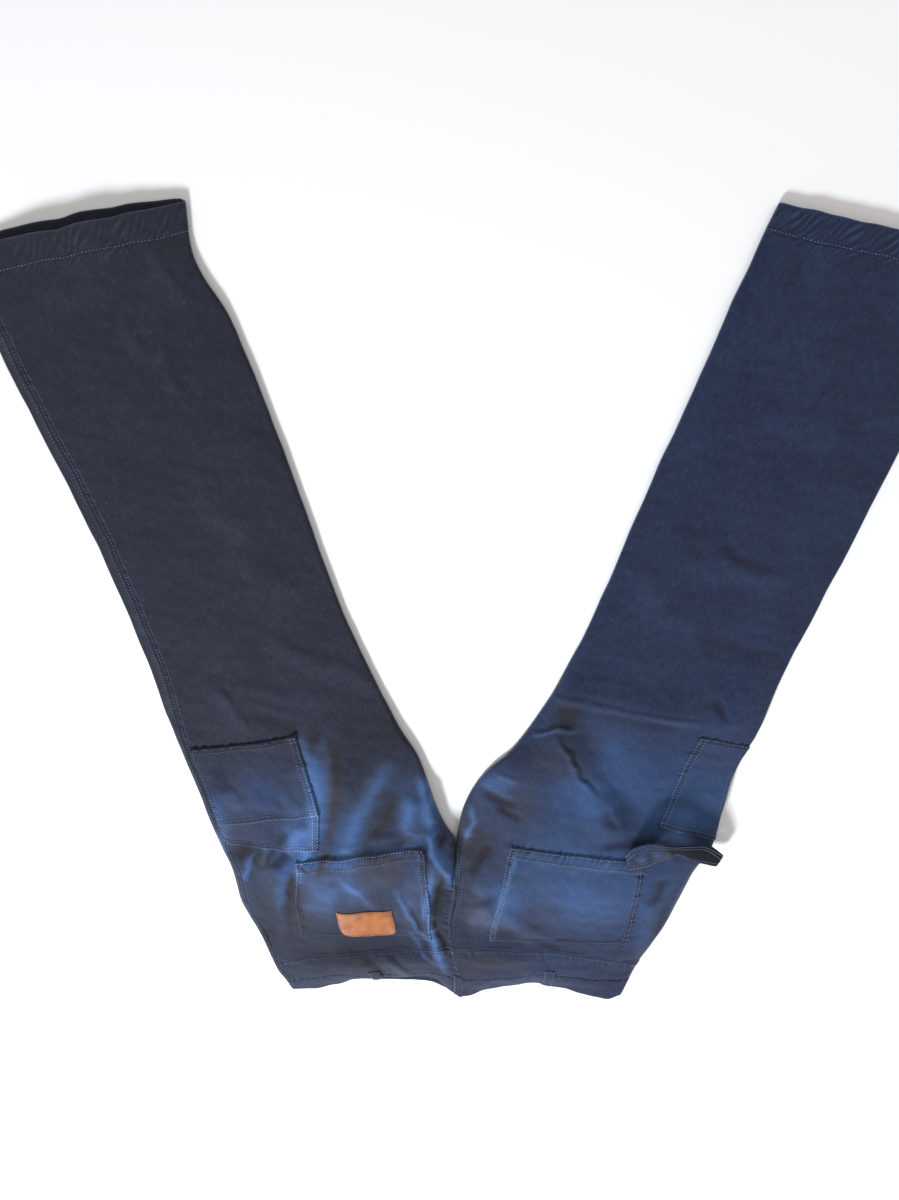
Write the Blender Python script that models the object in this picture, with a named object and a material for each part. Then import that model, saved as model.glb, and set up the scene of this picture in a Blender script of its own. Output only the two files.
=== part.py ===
"""Carpenter jeans laid flat, back upwards. Metres, +Z up, the hems towards +Y.

Right and left are the wearer's. Each half of the jeans is one flattened tube of cloth. Its sections are
rows from the outer edge to the inner one, and every panel is a patch of that tube given a thickness.
"""

import bmesh
import bpy
import mathutils
import numpy as np

for old in list(bpy.data.objects):
    bpy.data.objects.remove(old, do_unlink=True)
COLLECTION = bpy.data.collections.new("jeans")
bpy.context.scene.collection.children.link(COLLECTION)

# Cloth, seam and edge sizes
CLOTH = 0.0012
DOUBLE_CLOTH = 0.0024
STRAP_CLOTH = 0.0016
SEAM_GAP = 0.0003
EDGE = 0.04
LEAST_EDGE_RADIUS = 0.0035
MOST_EDGE_RADIUS = 0.010
INNER_RADIUS = 0.0035
UNDER_REST = CLOTH / 2
WAIST_LIFT = 0.0033
OVERLAP_LIFT = DOUBLE_CLOTH + SEAM_GAP

# Section numbers of the seams that cross the tube, counted along the tables below
BAND_SEAM, CROTCH, HEM = 1.0, 5.0, 15.0
ROW_GAP = 0.003
BAND_GAP = 0.010
OUTSEAM_HALF_GAP = 0.0006

# Below this section number the tubes part into legs, and the waist's lift has faded this far below the band
LEG_START, LEG_SPAN = 4.0, 1.0
WAIST_FADE = 2.0

# Where the right half of the waist rises over the lapped end of the left, as places across
LAP_START, LAP_SPAN = 0.6, 0.24
NUDGE = 1e-4

# Sections of the right half: name, inner x y, outer x y, heights of the upper layer at outer, middle, inner
RIGHT_SECTIONS = [
    ("waist edge", -0.015, -0.477, -0.236, -0.469, 0.008, 0.011, 0.011),
    ("band seam", -0.015, -0.445, -0.244, -0.451, 0.011, 0.024, 0.022),
    ("yoke", -0.021, -0.412, -0.256, -0.429, 0.013, 0.029, 0.026),
    ("pocket", -0.029, -0.356, -0.273, -0.375, 0.017, 0.036, 0.030),
    ("seat", -0.023, -0.301, -0.293, -0.325, 0.020, 0.045, 0.028),
    ("crotch", -0.019, -0.240, -0.302, -0.276, 0.020, 0.046, 0.008),
    ("fork", -0.039, -0.203, -0.313, -0.246, 0.016, 0.036, 0.009),
    ("upper thigh", -0.063, -0.128, -0.326, -0.208, 0.012, 0.024, 0.009),
    ("thigh", -0.087, -0.085, -0.337, -0.168, 0.009, 0.016, 0.008),
    ("lower thigh", -0.125, 0.000, -0.363, -0.079, 0.007, 0.011, 0.007),
    ("above knee", -0.154, 0.074, -0.381, -0.003, 0.007, 0.008, 0.007),
    ("knee", -0.193, 0.200, -0.417, 0.122, 0.007, 0.0075, 0.007),
    ("shin", -0.224, 0.297, -0.451, 0.217, 0.007, 0.0075, 0.007),
    ("calf", -0.253, 0.378, -0.485, 0.307, 0.007, 0.008, 0.007),
    ("ankle", -0.286, 0.437, -0.513, 0.387, 0.007, 0.011, 0.007),
    ("hem", -0.290, 0.489, -0.530, 0.443, 0.007, 0.018, 0.008),
]

# Sections of the left half, which meets the right one along the inner points down to the crotch
LEFT_SECTIONS = [
    ("waist edge", -0.015, -0.477, 0.202, -0.477, 0.008, 0.011, 0.011),
    ("band seam", -0.015, -0.445, 0.211, -0.448, 0.011, 0.024, 0.022),
    ("yoke", -0.021, -0.412, 0.221, -0.424, 0.013, 0.029, 0.026),
    ("pocket", -0.029, -0.356, 0.247, -0.372, 0.017, 0.036, 0.030),
    ("seat", -0.023, -0.301, 0.266, -0.322, 0.020, 0.045, 0.028),
    ("crotch", -0.019, -0.240, 0.281, -0.280, 0.020, 0.046, 0.008),
    ("fork", -0.009, -0.190, 0.301, -0.250, 0.016, 0.036, 0.009),
    ("upper thigh", 0.017, -0.147, 0.307, -0.222, 0.012, 0.026, 0.009),
    ("thigh", 0.048, -0.117, 0.311, -0.196, 0.009, 0.018, 0.008),
    ("lower thigh", 0.083, -0.064, 0.323, -0.141, 0.007, 0.012, 0.007),
    ("above knee", 0.112, -0.006, 0.346, -0.089, 0.007, 0.009, 0.007),
    ("knee", 0.141, 0.062, 0.364, -0.024, 0.007, 0.0075, 0.007),
    ("shin", 0.189, 0.195, 0.413, 0.109, 0.007, 0.0075, 0.007),
    ("calf", 0.230, 0.302, 0.453, 0.220, 0.007, 0.0075, 0.007),
    ("ankle", 0.265, 0.397, 0.497, 0.344, 0.007, 0.0075, 0.007),
    ("hem", 0.302, 0.489, 0.531, 0.441, 0.007, 0.009, 0.007),
]

# How far the waistband strays towards the hems from a straight line: place across, then the distances at
# its free edge, its middle and its seam. On the right it is rolled under, so its edge lies behind.
WAIST_LINE = {
    "right": [
        (0.00, 0.000, 0.0000, 0.000),
        (0.15, 0.004, 0.0050, 0.008),
        (0.30, 0.015, 0.0140, 0.017),
        (0.45, 0.034, 0.0170, 0.017),
        (0.60, 0.043, 0.0190, 0.018),
        (0.83, 0.043, 0.0200, 0.020),
        (0.93, 0.012, 0.0100, 0.012),
        (1.00, 0.000, 0.0025, 0.005),
    ],
    "left": [
        (0.00, 0.000, 0.0000, 0.000),
        (0.08, -0.010, -0.0060, 0.000),
        (0.20, 0.000, 0.0010, 0.004),
        (0.35, 0.012, 0.0120, 0.012),
        (0.53, 0.022, 0.0190, 0.016),
        (0.70, 0.018, 0.0150, 0.011),
        (0.85, 0.010, 0.0090, 0.008),
        (0.93, 0.000, 0.0030, 0.006),
        (1.00, 0.000, 0.0025, 0.005),
    ],
}

# Large folds of the upper layer: name, start x y, end x y, height (negative for a hollow), half width
FOLDS = [
    ("crotch ridge", -0.058, -0.190, -0.046, -0.262, 0.009, 0.020),
    ("seam ridge", -0.046, -0.262, -0.062, -0.345, 0.008, 0.020),
    ("yoke bulge right", -0.150, -0.400, -0.060, -0.400, 0.006, 0.022),
    ("yoke bulge left", 0.010, -0.395, 0.060, -0.398, 0.005, 0.022),
    ("left thigh ridge", 0.110, -0.105, 0.165, -0.200, 0.006, 0.022),
    ("left thigh hollow", 0.140, -0.090, 0.195, -0.185, -0.004, 0.022),
    ("left thigh cross fold", 0.095, -0.035, 0.310, -0.075, 0.004, 0.022),
]

# Rows of the back panels: name, steps to the next, section number at outer edge, middle, inner edge,
# then the places across (0 outer, 1 inner) of the grid columns B, C and D
RIGHT_ROWS = [
    ("yoke seam", 2, 2.05, 2.50, 2.35, 0.24, 0.486, 0.90),
    ("back pocket opening", 8, 2.95, 3.15, 2.70, 0.245, 0.46, 0.89),
    ("back pocket end", 1, 5.35, 5.40, 5.00, 0.327, 0.49, 0.845),
    ("tool pocket opening", 2, 6.20, 5.72, 5.45, 0.29, 0.44, 0.83),
    ("small tool pocket opening", 6, 6.80, 6.56, 6.30, 0.28, 0.50, 0.80),
    ("tool pocket end", 17, 8.63, 8.38, 8.30, 0.28, 0.545, 0.80),
    ("hem turn", 1, 14.45, 14.48, 14.48, 0.28, 0.52, 0.76),
    ("hem inside turn", 1, 14.52, 14.54, 14.54, 0.28, 0.52, 0.76),
    ("hem edge", 0, 15.0, 15.0, 15.0, 0.28, 0.52, 0.76),
]
LEFT_ROWS = [
    ("yoke seam", 2, 1.90, 2.45, 2.35, 0.17, 0.44, 0.80),
    ("back pocket opening", 8, 2.70, 2.88, 2.70, 0.165, 0.48, 0.79),
    ("back pocket end", 3, 5.25, 5.45, 5.00, 0.258, 0.50, 0.765),
    ("left tool pocket opening", 6, 6.42, 6.85, 6.60, 0.27, 0.52, 0.77),
    ("left tool pocket end", 16, 9.60, 9.42, 9.35, 0.265, 0.52, 0.76),
    ("hem turn", 1, 14.72, 14.72, 14.72, 0.28, 0.52, 0.76),
    ("hem inside turn", 1, 14.75, 14.75, 14.75, 0.28, 0.52, 0.76),
    ("hem edge", 0, 15.0, 15.0, 15.0, 0.28, 0.52, 0.76),
]

# Grid steps between column A (the outseam) and B, B and C, C and D, D and the inner roll. The left half
# has two more columns, for the rolled outer edge.
COLUMN_STEPS = (3, 3, 5, 1)
YOKE_STEPS = 2

# The outseam of the right leg is turned onto the upper layer: section number, place across
RIGHT_OUTSEAM = [
    (0.0, 0.05),
    (5.5, 0.05),
    (7.0, 0.066),
    (8.6, 0.072),
    (9.5, 0.10),
    (11.0, 0.10),
    (15.0, 0.09),
]

# The last rows of the right hem's under layer reach past the upper one by this much, and sideways by a share
HEM_SLIP = 0.012
HEM_SLIP_ROWS = 3
HEM_SLIP_SIDEWAYS = 0.2

# The waistband and its trim
UNDER_COLUMNS = (0.02, 0.04, 0.35, 0.60, 0.84, 0.98, 1.0)
BAND_NUMBERS = (0.0, 0.5, 1.0)
BAND_FOLD_ROW = 1.0
BAND_LAP = (0.016, 0.032)

# Belt loops: half width as a place across, the same at the centre seam, the last row on the band, the
# section number of the foot, and how much nearer the foot lies than a seam's gap
LOOP_HALF_WIDTH = 0.0295
CENTRE_LOOP_HALF_WIDTH = 0.049
LOOP_BAND_END = 1.96
LOOP_FOOT = 1.2
LOOP_FOOT_GAP = 0.0002
BUTTON_CENTRE = (-0.030, -0.461)
BUTTON_RADIUS = 0.0085
BUTTON_HEIGHTS = (0.0003, 0.0023)
BUTTON_SIDES = 20

# Belt loops: name, half, on the upper layer (1) or beneath (-1), place across, first row on the band.
# The right back loop starts at the band's roll, because the rest of it is rolled under.
BELT_LOOPS = [
    ("belt_loop_back_right", "right", 1, 0.527, 1.04),
    ("belt_loop_back_centre", "right", 1, 1.0, 0.04),
    ("belt_loop_back_left", "left", 1, 0.476, 0.04),
    ("belt_loop_front_right", "right", -1, 0.475, 0.04),
    ("belt_loop_front_left", "left", -1, 0.475, 0.04),
]

# Pieces sewn on the back panels, by the grid lines they follow: name, half, first and last row, first
# and last column, pieces already beneath
SEWN_ON = [
    ("back_pocket_right", "right", 2, 10, 3, 11, 0),
    ("back_pocket_left", "left", 2, 10, 5, 13, 0),
    ("tool_pocket_right", "right", 11, 19, 0, 6, 0),
    ("tool_pocket_right_small", "right", 13, 19, 0, 6, 1),
    ("tool_pocket_left", "left", 13, 19, 1, 5, 0),
]

# The patch on the right back pocket, by rows of the panel's grid: row number at the corners and between
# them, then the first and last column
PATCH = [
    (2.35, 1.93, 6.05, 8.85),
    (2.60, 2.20, 5.90, 9.05),
    (3.20, 3.10, 5.83, 9.03),
    (4.00, 3.85, 5.78, 8.95),
    (4.85, 4.62, 5.73, 8.87),
]
PATCH_MIDDLE_COLUMNS = (7.0, 8.0)

# The hammer strap, from the back pocket's corner over to the outseam: x y z of the edge towards the
# hems, then of the edge towards the waist
STRAP = [
    ("rise", 0.206, -0.230, 0.0500, 0.211, -0.258, 0.0530),
    ("crest", 0.226, -0.224, 0.0570, 0.235, -0.256, 0.0520),
    ("turn", 0.252, -0.227, 0.0520, 0.262, -0.259, 0.0420),
    ("fall", 0.280, -0.235, 0.0380, 0.286, -0.264, 0.0300),
    ("overhang", 0.311, -0.250, 0.0200, 0.303, -0.271, 0.0200),
]
STRAP_START = ((5.52, 0.335), (5.05, 0.320))
STRAP_END = ((6.10, 0.0), (5.62, 0.0))
STRAP_REST = 0.0004
STRAP_ARCH = 0.001

# Finishes: base colour, roughness, metallic
FINISHES = {
    "denim": ((0.035, 0.048, 0.105), 0.90, 0.0),
    "denim_double": ((0.040, 0.056, 0.120), 0.88, 0.0),
    "denim_pocket": ((0.045, 0.065, 0.140), 0.90, 0.0),
    "tan_leather": ((0.600, 0.240, 0.045), 0.60, 0.0),
    "button_brass": ((0.550, 0.380, 0.160), 0.38, 1.0),
}
SHARP_ANGLE = np.radians(40)


def ease(value):
    """0 below 0, 1 above 1, and a soft S between."""
    t = np.clip(value, 0.0, 1.0)
    return t * t * (3.0 - 2.0 * t)


def spline(values, at):
    """A smooth curve through values given at 0, 1, 2 and so on."""
    slopes = np.gradient(values)
    low = np.clip(np.floor(at).astype(int), 0, len(values) - 2)
    t = at - low
    rise = values[low + 1] - values[low]
    bend_start = slopes[low] - rise
    bend_end = slopes[low + 1] - rise
    return values[low] + rise * t + t * (1 - t) * (bend_start * (1 - t) - bend_end * t)


def cornered_spline(values, at):
    """A smooth curve that may turn sharply at the crotch."""
    split = int(CROTCH)
    seat = spline(values[: split + 1], np.minimum(at, CROTCH))
    leg = spline(values[split:], np.maximum(at, CROTCH) - CROTCH)
    return np.where(at <= CROTCH, seat, leg)


def fold_height(x, y):
    """What the large folds add to the upper layer's height at a place."""
    total = np.zeros_like(x)
    for _, x0, y0, x1, y1, height, half_width in FOLDS:
        length = (x1 - x0) ** 2 + (y1 - y0) ** 2
        t = np.clip(((x - x0) * (x1 - x0) + (y - y0) * (y1 - y0)) / length, 0.0, 1.0)
        away = (x - x0 - t * (x1 - x0)) ** 2 + (y - y0 - t * (y1 - y0)) ** 2
        total += height * np.exp(-away / half_width**2)
    return total


class Half:
    """One half of the jeans as a flattened tube.

    A place on it is (u, p): u is the section number, and p runs from 0 at the outer edge to 1 at the
    inner edge over the top, and from 0 to -1 beneath.
    """

    def __init__(self, sections, side):
        self.table = np.array([row[1:] for row in sections])
        self.side = side

    def row(self, u):
        curves = (cornered_spline, cornered_spline, spline, spline, spline, spline, cornered_spline)
        return [curve(self.table[:, k], u) for k, curve in enumerate(curves)]

    def waist_shift(self, u, c, over):
        """How far a place near the waist strays towards the hems."""
        places, edge, middle, seam = (np.array(column) for column in zip(*WAIST_LINE[self.side]))
        at_edge = np.where(over, np.interp(c, places, edge), np.interp(c, places, middle))
        at_middle = np.interp(c, places, middle)
        at_seam = np.interp(c, places, seam)
        upper = at_edge + (at_middle - at_edge) * np.clip(2.0 * u, 0.0, 1.0)
        lower = at_middle + (at_seam - at_middle) * np.clip(2.0 * u - 1.0, 0.0, 1.0)
        band = np.where(u < 0.5, upper, lower)
        return np.where(u < BAND_SEAM, band, at_seam * (1.0 - ease((u - BAND_SEAM) / WAIST_FADE)))

    def rest(self, u, q):
        """The height of the under layer, lifted at the waist by the button and loops beneath it."""
        waist = 1.0 - ease((u - BAND_SEAM) / WAIST_FADE)
        height = UNDER_REST + WAIST_LIFT * waist
        if self.side == "right":
            height = height + OVERLAP_LIFT * waist * ease((q - LAP_START) / LAP_SPAN)
        return height

    def point(self, u, p):
        u, p = np.broadcast_arrays(np.asarray(u, float), np.asarray(p, float))
        inner_x, inner_y, outer_x, outer_y, outer_h, middle_h, inner_h = self.row(u)
        over = p >= 0
        q = np.abs(p)
        turn = np.clip(q / EDGE, 0.0, 1.0) * np.pi / 2
        back = np.clip((1.0 - q) / EDGE, 0.0, 1.0) * np.pi / 2
        leg = ease((u - LEG_START) / LEG_SPAN)
        wide = np.hypot(inner_x - outer_x, inner_y - outer_y)
        inset = SEAM_GAP / 2 + CLOTH * leg
        outer_radius = np.clip(outer_h / 2, LEAST_EDGE_RADIUS, MOST_EDGE_RADIUS)
        run = wide - inset - outer_radius - INNER_RADIUS
        flat = np.clip((q - EDGE) / (1.0 - 2.0 * EDGE), 0.0, 1.0)
        across = outer_radius * (1 - np.cos(turn)) + run * flat + INNER_RADIUS * np.cos(back)
        c = across / wide
        x = outer_x + (inner_x - outer_x) * c
        y = outer_y + (inner_y - outer_y) * c + self.waist_shift(u, c, over)
        side_h = np.where(c < 0.5, outer_h, inner_h)
        height = side_h + (middle_h - side_h) * np.sin(np.pi * c)
        height = height + fold_height(x, y) * np.sin(turn) * (1 - leg * (1 - np.sin(back)))
        rest = self.rest(u, q)
        gap = np.where(over, SEAM_GAP / 2, -SEAM_GAP / 2)
        outer_tip = (outer_h + rest) / 2 + gap
        inner_tip = (inner_h + rest) / 2 + gap
        level = np.where(over, height, rest)
        near_outer = outer_tip + (level - outer_tip) * np.sin(turn)
        near_inner = level + (inner_tip - level) * leg * (1 - np.sin(back))
        z = np.where(q < 0.5, near_outer, near_inner)
        return np.stack([x, y, z], axis=-1)

    def normal(self, u, p):
        """The outward direction at (u, p)."""
        u, p = np.broadcast_arrays(np.asarray(u, float), np.asarray(p, float))
        along = self.point(np.minimum(u + NUDGE, HEM), p) - self.point(np.maximum(u - NUDGE, 0.0), p)
        later, sooner = p + NUDGE, p - NUDGE
        wrapped = u > LEG_START + LEG_SPAN / 2
        later = np.where(later > 1, np.where(wrapped, later - 2, 1.0), later)
        sooner = np.where(sooner < -1, np.where(wrapped, sooner + 2, -1.0), sooner)
        across = self.point(u, later) - self.point(u, sooner)
        normal = np.cross(along, across)
        if self.side == "right":
            normal = -normal
        inner_x, inner_y, outer_x, outer_y = self.row(u)[:4]
        sideways = np.stack([inner_x - outer_x, inner_y - outer_y, 0 * inner_x], axis=-1)
        sideways /= np.linalg.norm(sideways, axis=-1, keepdims=True)
        at_centre = (np.abs(np.abs(p) - 1) < 1e-9) & ~wrapped
        slant = np.sum(normal * sideways, axis=-1, keepdims=True) * sideways
        normal = np.where(at_centre[..., None], normal - slant, normal)
        return normal / np.linalg.norm(normal, axis=-1, keepdims=True)


RIGHT = Half(RIGHT_SECTIONS, "right")
LEFT = Half(LEFT_SECTIONS, "left")
HALVES = {"right": RIGHT, "left": LEFT}


class Grid:
    """Places on the cloth's middle surface in rows and columns, with their outward directions."""

    def __init__(self, points, normals):
        self.points = points
        self.normals = normals

    def pick(self, rows, columns):
        """The same surface at fractional row and column numbers."""
        rows, columns = np.broadcast_arrays(np.asarray(rows, float), np.asarray(columns, float))
        r = np.clip(np.floor(rows).astype(int), 0, self.points.shape[0] - 2)
        c = np.clip(np.floor(columns).astype(int), 0, self.points.shape[1] - 2)
        a = (rows - r)[..., None]
        b = (columns - c)[..., None]
        found = []
        for field in (self.points, self.normals):
            near = field[r, c] * (1 - b) + field[r, c + 1] * b
            far = field[r + 1, c] * (1 - b) + field[r + 1, c + 1] * b
            found.append(near * (1 - a) + far * a)
        length = np.linalg.norm(found[1], axis=-1, keepdims=True)
        return Grid(found[0], found[1] / length)

    def part(self, rows, columns):
        picked = np.ix_(list(rows), list(columns))
        return Grid(self.points[picked], self.normals[picked])


def grid_of(half, u, p):
    return Grid(half.point(u, p), half.normal(u, p))


def finish_piece(name, finish, body):
    """Turns a body into the named object, with a finish of its own and its round sides shaded smooth."""
    bmesh.ops.recalc_face_normals(body, faces=body.faces[:])
    mesh = bpy.data.meshes.new(name)
    body.to_mesh(mesh)
    body.free()
    mesh.shade_smooth()
    mesh.set_sharp_from_angle(angle=SHARP_ANGLE)
    colour, roughness, metallic = FINISHES[finish]
    material = bpy.data.materials.new(name + "_" + finish)
    material.use_nodes = True
    shader = material.node_tree.nodes["Principled BSDF"]
    shader.inputs["Base Color"].default_value = (*colour, 1.0)
    shader.inputs["Roughness"].default_value = roughness
    shader.inputs["Metallic"].default_value = metallic
    mesh.materials.append(material)
    COLLECTION.objects.link(bpy.data.objects.new(name, mesh))


def add_sheet(name, finish, grid, low, high):
    """A sheet of cloth between two distances from the surface: a flat grid, bent to it, then extruded."""
    rows, columns = grid.points.shape[:2]
    low = np.broadcast_to(np.asarray(low, float), (rows, columns))[..., None]
    high = np.broadcast_to(np.asarray(high, float), (rows, columns))[..., None]
    outer = grid.points + grid.normals * high
    inner = grid.points + grid.normals * low
    body = bmesh.new()
    bmesh.ops.create_grid(body, x_segments=columns - 1, y_segments=rows - 1, size=1.0)
    row_layer = body.verts.layers.int.new("row")
    column_layer = body.verts.layers.int.new("column")
    for vertex in body.verts:
        row = round((vertex.co.y + 1) / 2 * (rows - 1))
        column = round((vertex.co.x + 1) / 2 * (columns - 1))
        vertex[row_layer], vertex[column_layer] = row, column
        vertex.co = inner[row, column]
    bmesh.ops.triangulate(body, faces=body.faces[:], quad_method="FIXED")
    grown = bmesh.ops.extrude_face_region(body, geom=body.faces[:])
    for vertex in grown["geom"]:
        if isinstance(vertex, bmesh.types.BMVert):
            vertex.co = outer[vertex[row_layer], vertex[column_layer]]
    finish_piece(name, finish, body)


def lay_on(name, finish, grid, layers=0):
    """A piece lying outside a panel, above a number of layers that already lie there."""
    low = CLOTH / 2 + SEAM_GAP + layers * (CLOTH + SEAM_GAP)
    add_sheet(name, finish, grid, low, low + CLOTH)


def fill_rows(table):
    """Every row of a back panel: section numbers at outer, middle and inner, and columns B, C, D."""
    rows = []
    for row, after in zip(table, table[1:]):
        start, end = np.array(row[2:]), np.array(after[2:])
        for k in range(row[1]):
            rows.append(start + (end - start) * k / row[1])
    rows.append(np.array(table[-1][2:]))
    return np.array(rows)


def section_numbers(rows, q):
    """Section numbers along a row that bends through its outer, middle and inner values."""
    outer, middle, inner = (rows[:, k][:, None] for k in range(3))
    bend = 4.0 * (middle - (outer + inner) / 2.0)
    return outer + (inner - outer) * q + bend * q * (1.0 - q)


def column_places(half, seam, rows):
    """The places across of every column, one row for each row of the panel."""
    places = []
    if half.side == "left":
        places = [seam, np.full(len(rows), EDGE / 2)]
        seam = np.full(len(rows), EDGE)
    stops = [seam] + [rows[:, k] for k in (3, 4, 5)] + [np.full(len(rows), 1.0 - EDGE)]
    for start, end, steps in zip(stops, stops[1:], COLUMN_STEPS):
        for k in range(steps):
            places.append(start + (end - start) * k / steps)
    places += [np.full(len(rows), value) for value in (1.0 - EDGE, 1.0 - EDGE / 2, 1.0)]
    return np.stack(places, axis=1)


def outseam(half, u):
    """The place across of the outseam: in from the edge on the right leg, at the edge on the left."""
    if half.side == "left":
        return np.zeros_like(u)
    numbers, places = zip(*RIGHT_OUTSEAM)
    return np.interp(u, numbers, places)


def hem_lows(rows):
    """The inner face of a leg panel, which is doubled inwards on the last two rows, below the hem turn."""
    lows = np.full((len(rows), 1), -CLOTH / 2)
    lows[-2:] = CLOTH / 2 - DOUBLE_CLOTH
    return lows


def build_half(half, table):
    """The back panel, yoke and front panel of one half. Returns the grids that trim is laid on."""
    rows = fill_rows(table)
    side = half.side
    half_gap = OUTSEAM_HALF_GAP if side == "right" else 0.0
    seam = outseam(half, rows[:, 0])
    places = column_places(half, seam + half_gap, rows)
    numbers = section_numbers(rows, places)
    numbers[0] += ROW_GAP
    back = grid_of(half, numbers, places)
    add_sheet("back_" + side, "denim", back, hem_lows(rows), CLOTH / 2)

    top = rows[0]
    band = np.array([1.0, 1.0, 1.0, *top[3:]])
    yoke_rows = np.array([band + (top - band) * k / YOKE_STEPS for k in range(YOKE_STEPS + 1)])
    yoke_places = column_places(half, outseam(half, yoke_rows[:, 0]) + half_gap, yoke_rows)
    yoke_numbers = section_numbers(yoke_rows, yoke_places)
    yoke_numbers[0] += BAND_GAP
    yoke_numbers[-1] -= ROW_GAP
    yoke = grid_of(half, yoke_numbers, yoke_places)
    add_sheet("yoke_" + side, "denim", yoke, -CLOTH / 2, CLOTH / 2)

    front_rows = np.concatenate([yoke_rows[:-1], rows])
    front_seam = outseam(half, front_rows[:, 0]) - half_gap
    columns = []
    if side == "right":
        columns += [front_seam, np.full(len(front_rows), EDGE), np.full(len(front_rows), EDGE / 2)]
    columns += [np.full(len(front_rows), -1e-9)]
    columns += [np.full(len(front_rows), -value) for value in UNDER_COLUMNS]
    front_places = np.stack(columns, axis=1)
    straight = front_rows.copy()
    straight[:, 1] = (straight[:, 0] + straight[:, 2]) / 2
    q = np.abs(front_places)
    front_numbers = section_numbers(straight, q)
    on_top = front_places > 0
    front_numbers = np.where(on_top, section_numbers(front_rows, q), front_numbers)
    front_numbers[0] += BAND_GAP
    front = grid_of(half, front_numbers, front_places)
    if side == "right":
        slip_hem(front, front_places)
    add_sheet("front_" + side, "denim", front, hem_lows(front_rows), CLOTH / 2)
    return {"back": back, "places": yoke_places[0]}


def slip_hem(front, places):
    """Lets the under layer of the right hem reach a little past the upper one."""
    move = HEM_SLIP * np.sqrt(np.sin(np.pi * np.clip(-places[-HEM_SLIP_ROWS:], 0, 1)))
    front.points[-HEM_SLIP_ROWS:, :, 1] += move
    front.points[-HEM_SLIP_ROWS:, :, 0] -= HEM_SLIP_SIDEWAYS * move


def build_band(places_right, places_left):
    """The waistband: one strip round the waist whose ends lap at the centre front.

    Returns its grid and, for each half and layer, the columns' places across with their numbers.
    """
    under = np.array(UNDER_COLUMNS)
    runs = [
        ("right", -1, RIGHT, -under[::-1]),
        ("right", 1, RIGHT, np.concatenate([[0.0, EDGE / 2, EDGE], places_right[1:]])),
        ("left", 1, LEFT, places_left[-2::-1]),
        ("left", -1, LEFT, -under),
    ]
    u = np.array(BAND_NUMBERS)[:, None]
    points, normals, columns, count = [], [], {}, 0
    for side, layer, half, places in runs:
        grid = grid_of(half, u, places[None, :])
        points.append(grid.points)
        normals.append(grid.normals)
        numbers = np.arange(count, count + len(places))
        order = np.argsort(np.abs(places))
        columns[side, layer] = (np.abs(places)[order], numbers[order])
        count += len(places)
    for reach in BAND_LAP:
        lap = points[3][:, -1:].copy()
        lap[..., 0] -= reach
        width = RIGHT_SECTIONS[0][1] - RIGHT_SECTIONS[0][3]
        lap[..., 1] += RIGHT.waist_shift(u, 1.0 - reach / width, False)
        lap[..., 1] -= RIGHT.waist_shift(u, 1.0, False)
        points.append(lap)
        normals.append(normals[3][:, -1:])
    band = Grid(np.concatenate(points, axis=1), np.concatenate(normals, axis=1))
    add_sheet("waistband", "denim_double", band, -DOUBLE_CLOTH / 2, DOUBLE_CLOTH / 2)
    return band, columns


def build_loop(name, side, layer, place, first_row, band, columns):
    """A belt loop over the waistband, its lower end on the panel below the band."""
    if place == 1.0:
        beside = 1.0 - CENTRE_LOOP_HALF_WIDTH
        sides = (("right", beside), ("right", 1.0), ("left", beside))
    else:
        sides = ((side, place - LOOP_HALF_WIDTH), (side, place + LOOP_HALF_WIDTH))
    ends, feet = [], []
    for own_side, spot in sides:
        own_places, own_numbers = columns[own_side, layer]
        order = np.argsort(own_places)
        ends.append(np.interp(spot, own_places[order], own_numbers[order]))
        feet.append(grid_of(HALVES[own_side], LOOP_FOOT, np.array([[layer * spot]])))
    bend = (first_row + LOOP_BAND_END) / 2 if first_row > BAND_FOLD_ROW else BAND_FOLD_ROW
    rows = np.array([first_row, bend, LOOP_BAND_END])[:, None]
    over_band = band.pick(rows, np.array(ends)[None, :])
    foot_points = np.concatenate([foot.points for foot in feet], axis=1)
    foot_normals = np.concatenate([foot.normals for foot in feet], axis=1)
    grid = Grid(
        np.concatenate([over_band.points, foot_points]),
        np.concatenate([over_band.normals, foot_normals]),
    )
    on_band, on_panel = DOUBLE_CLOTH / 2, CLOTH / 2 + LOOP_FOOT_GAP
    low = np.array([on_band, on_band, on_band, on_panel])[:, None] + SEAM_GAP
    add_sheet(name, "denim_double", grid, low, low + CLOTH)


def build_patch(back):
    """The bare leather patch, its two waist-side corners rounded off."""
    rows, columns = [], []
    for corner, between, first, last in PATCH:
        rows.append([corner, between, between, corner])
        columns.append([first, *PATCH_MIDDLE_COLUMNS, last])
    lay_on("patch", "tan_leather", back.pick(np.array(rows), np.array(columns)), layers=1)


def strap_seat(places, lift):
    """The strap's edge, middle and edge where it is sewn to the leg."""
    (u0, p0), (u1, p1) = places
    spots = [(u0, p0), ((u0 + u1) / 2, (p0 + p1) / 2), (u1, p1)]
    return np.concatenate([LEFT.point(u, p) + LEFT.normal(u, p) * lift for u, p in spots])


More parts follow.
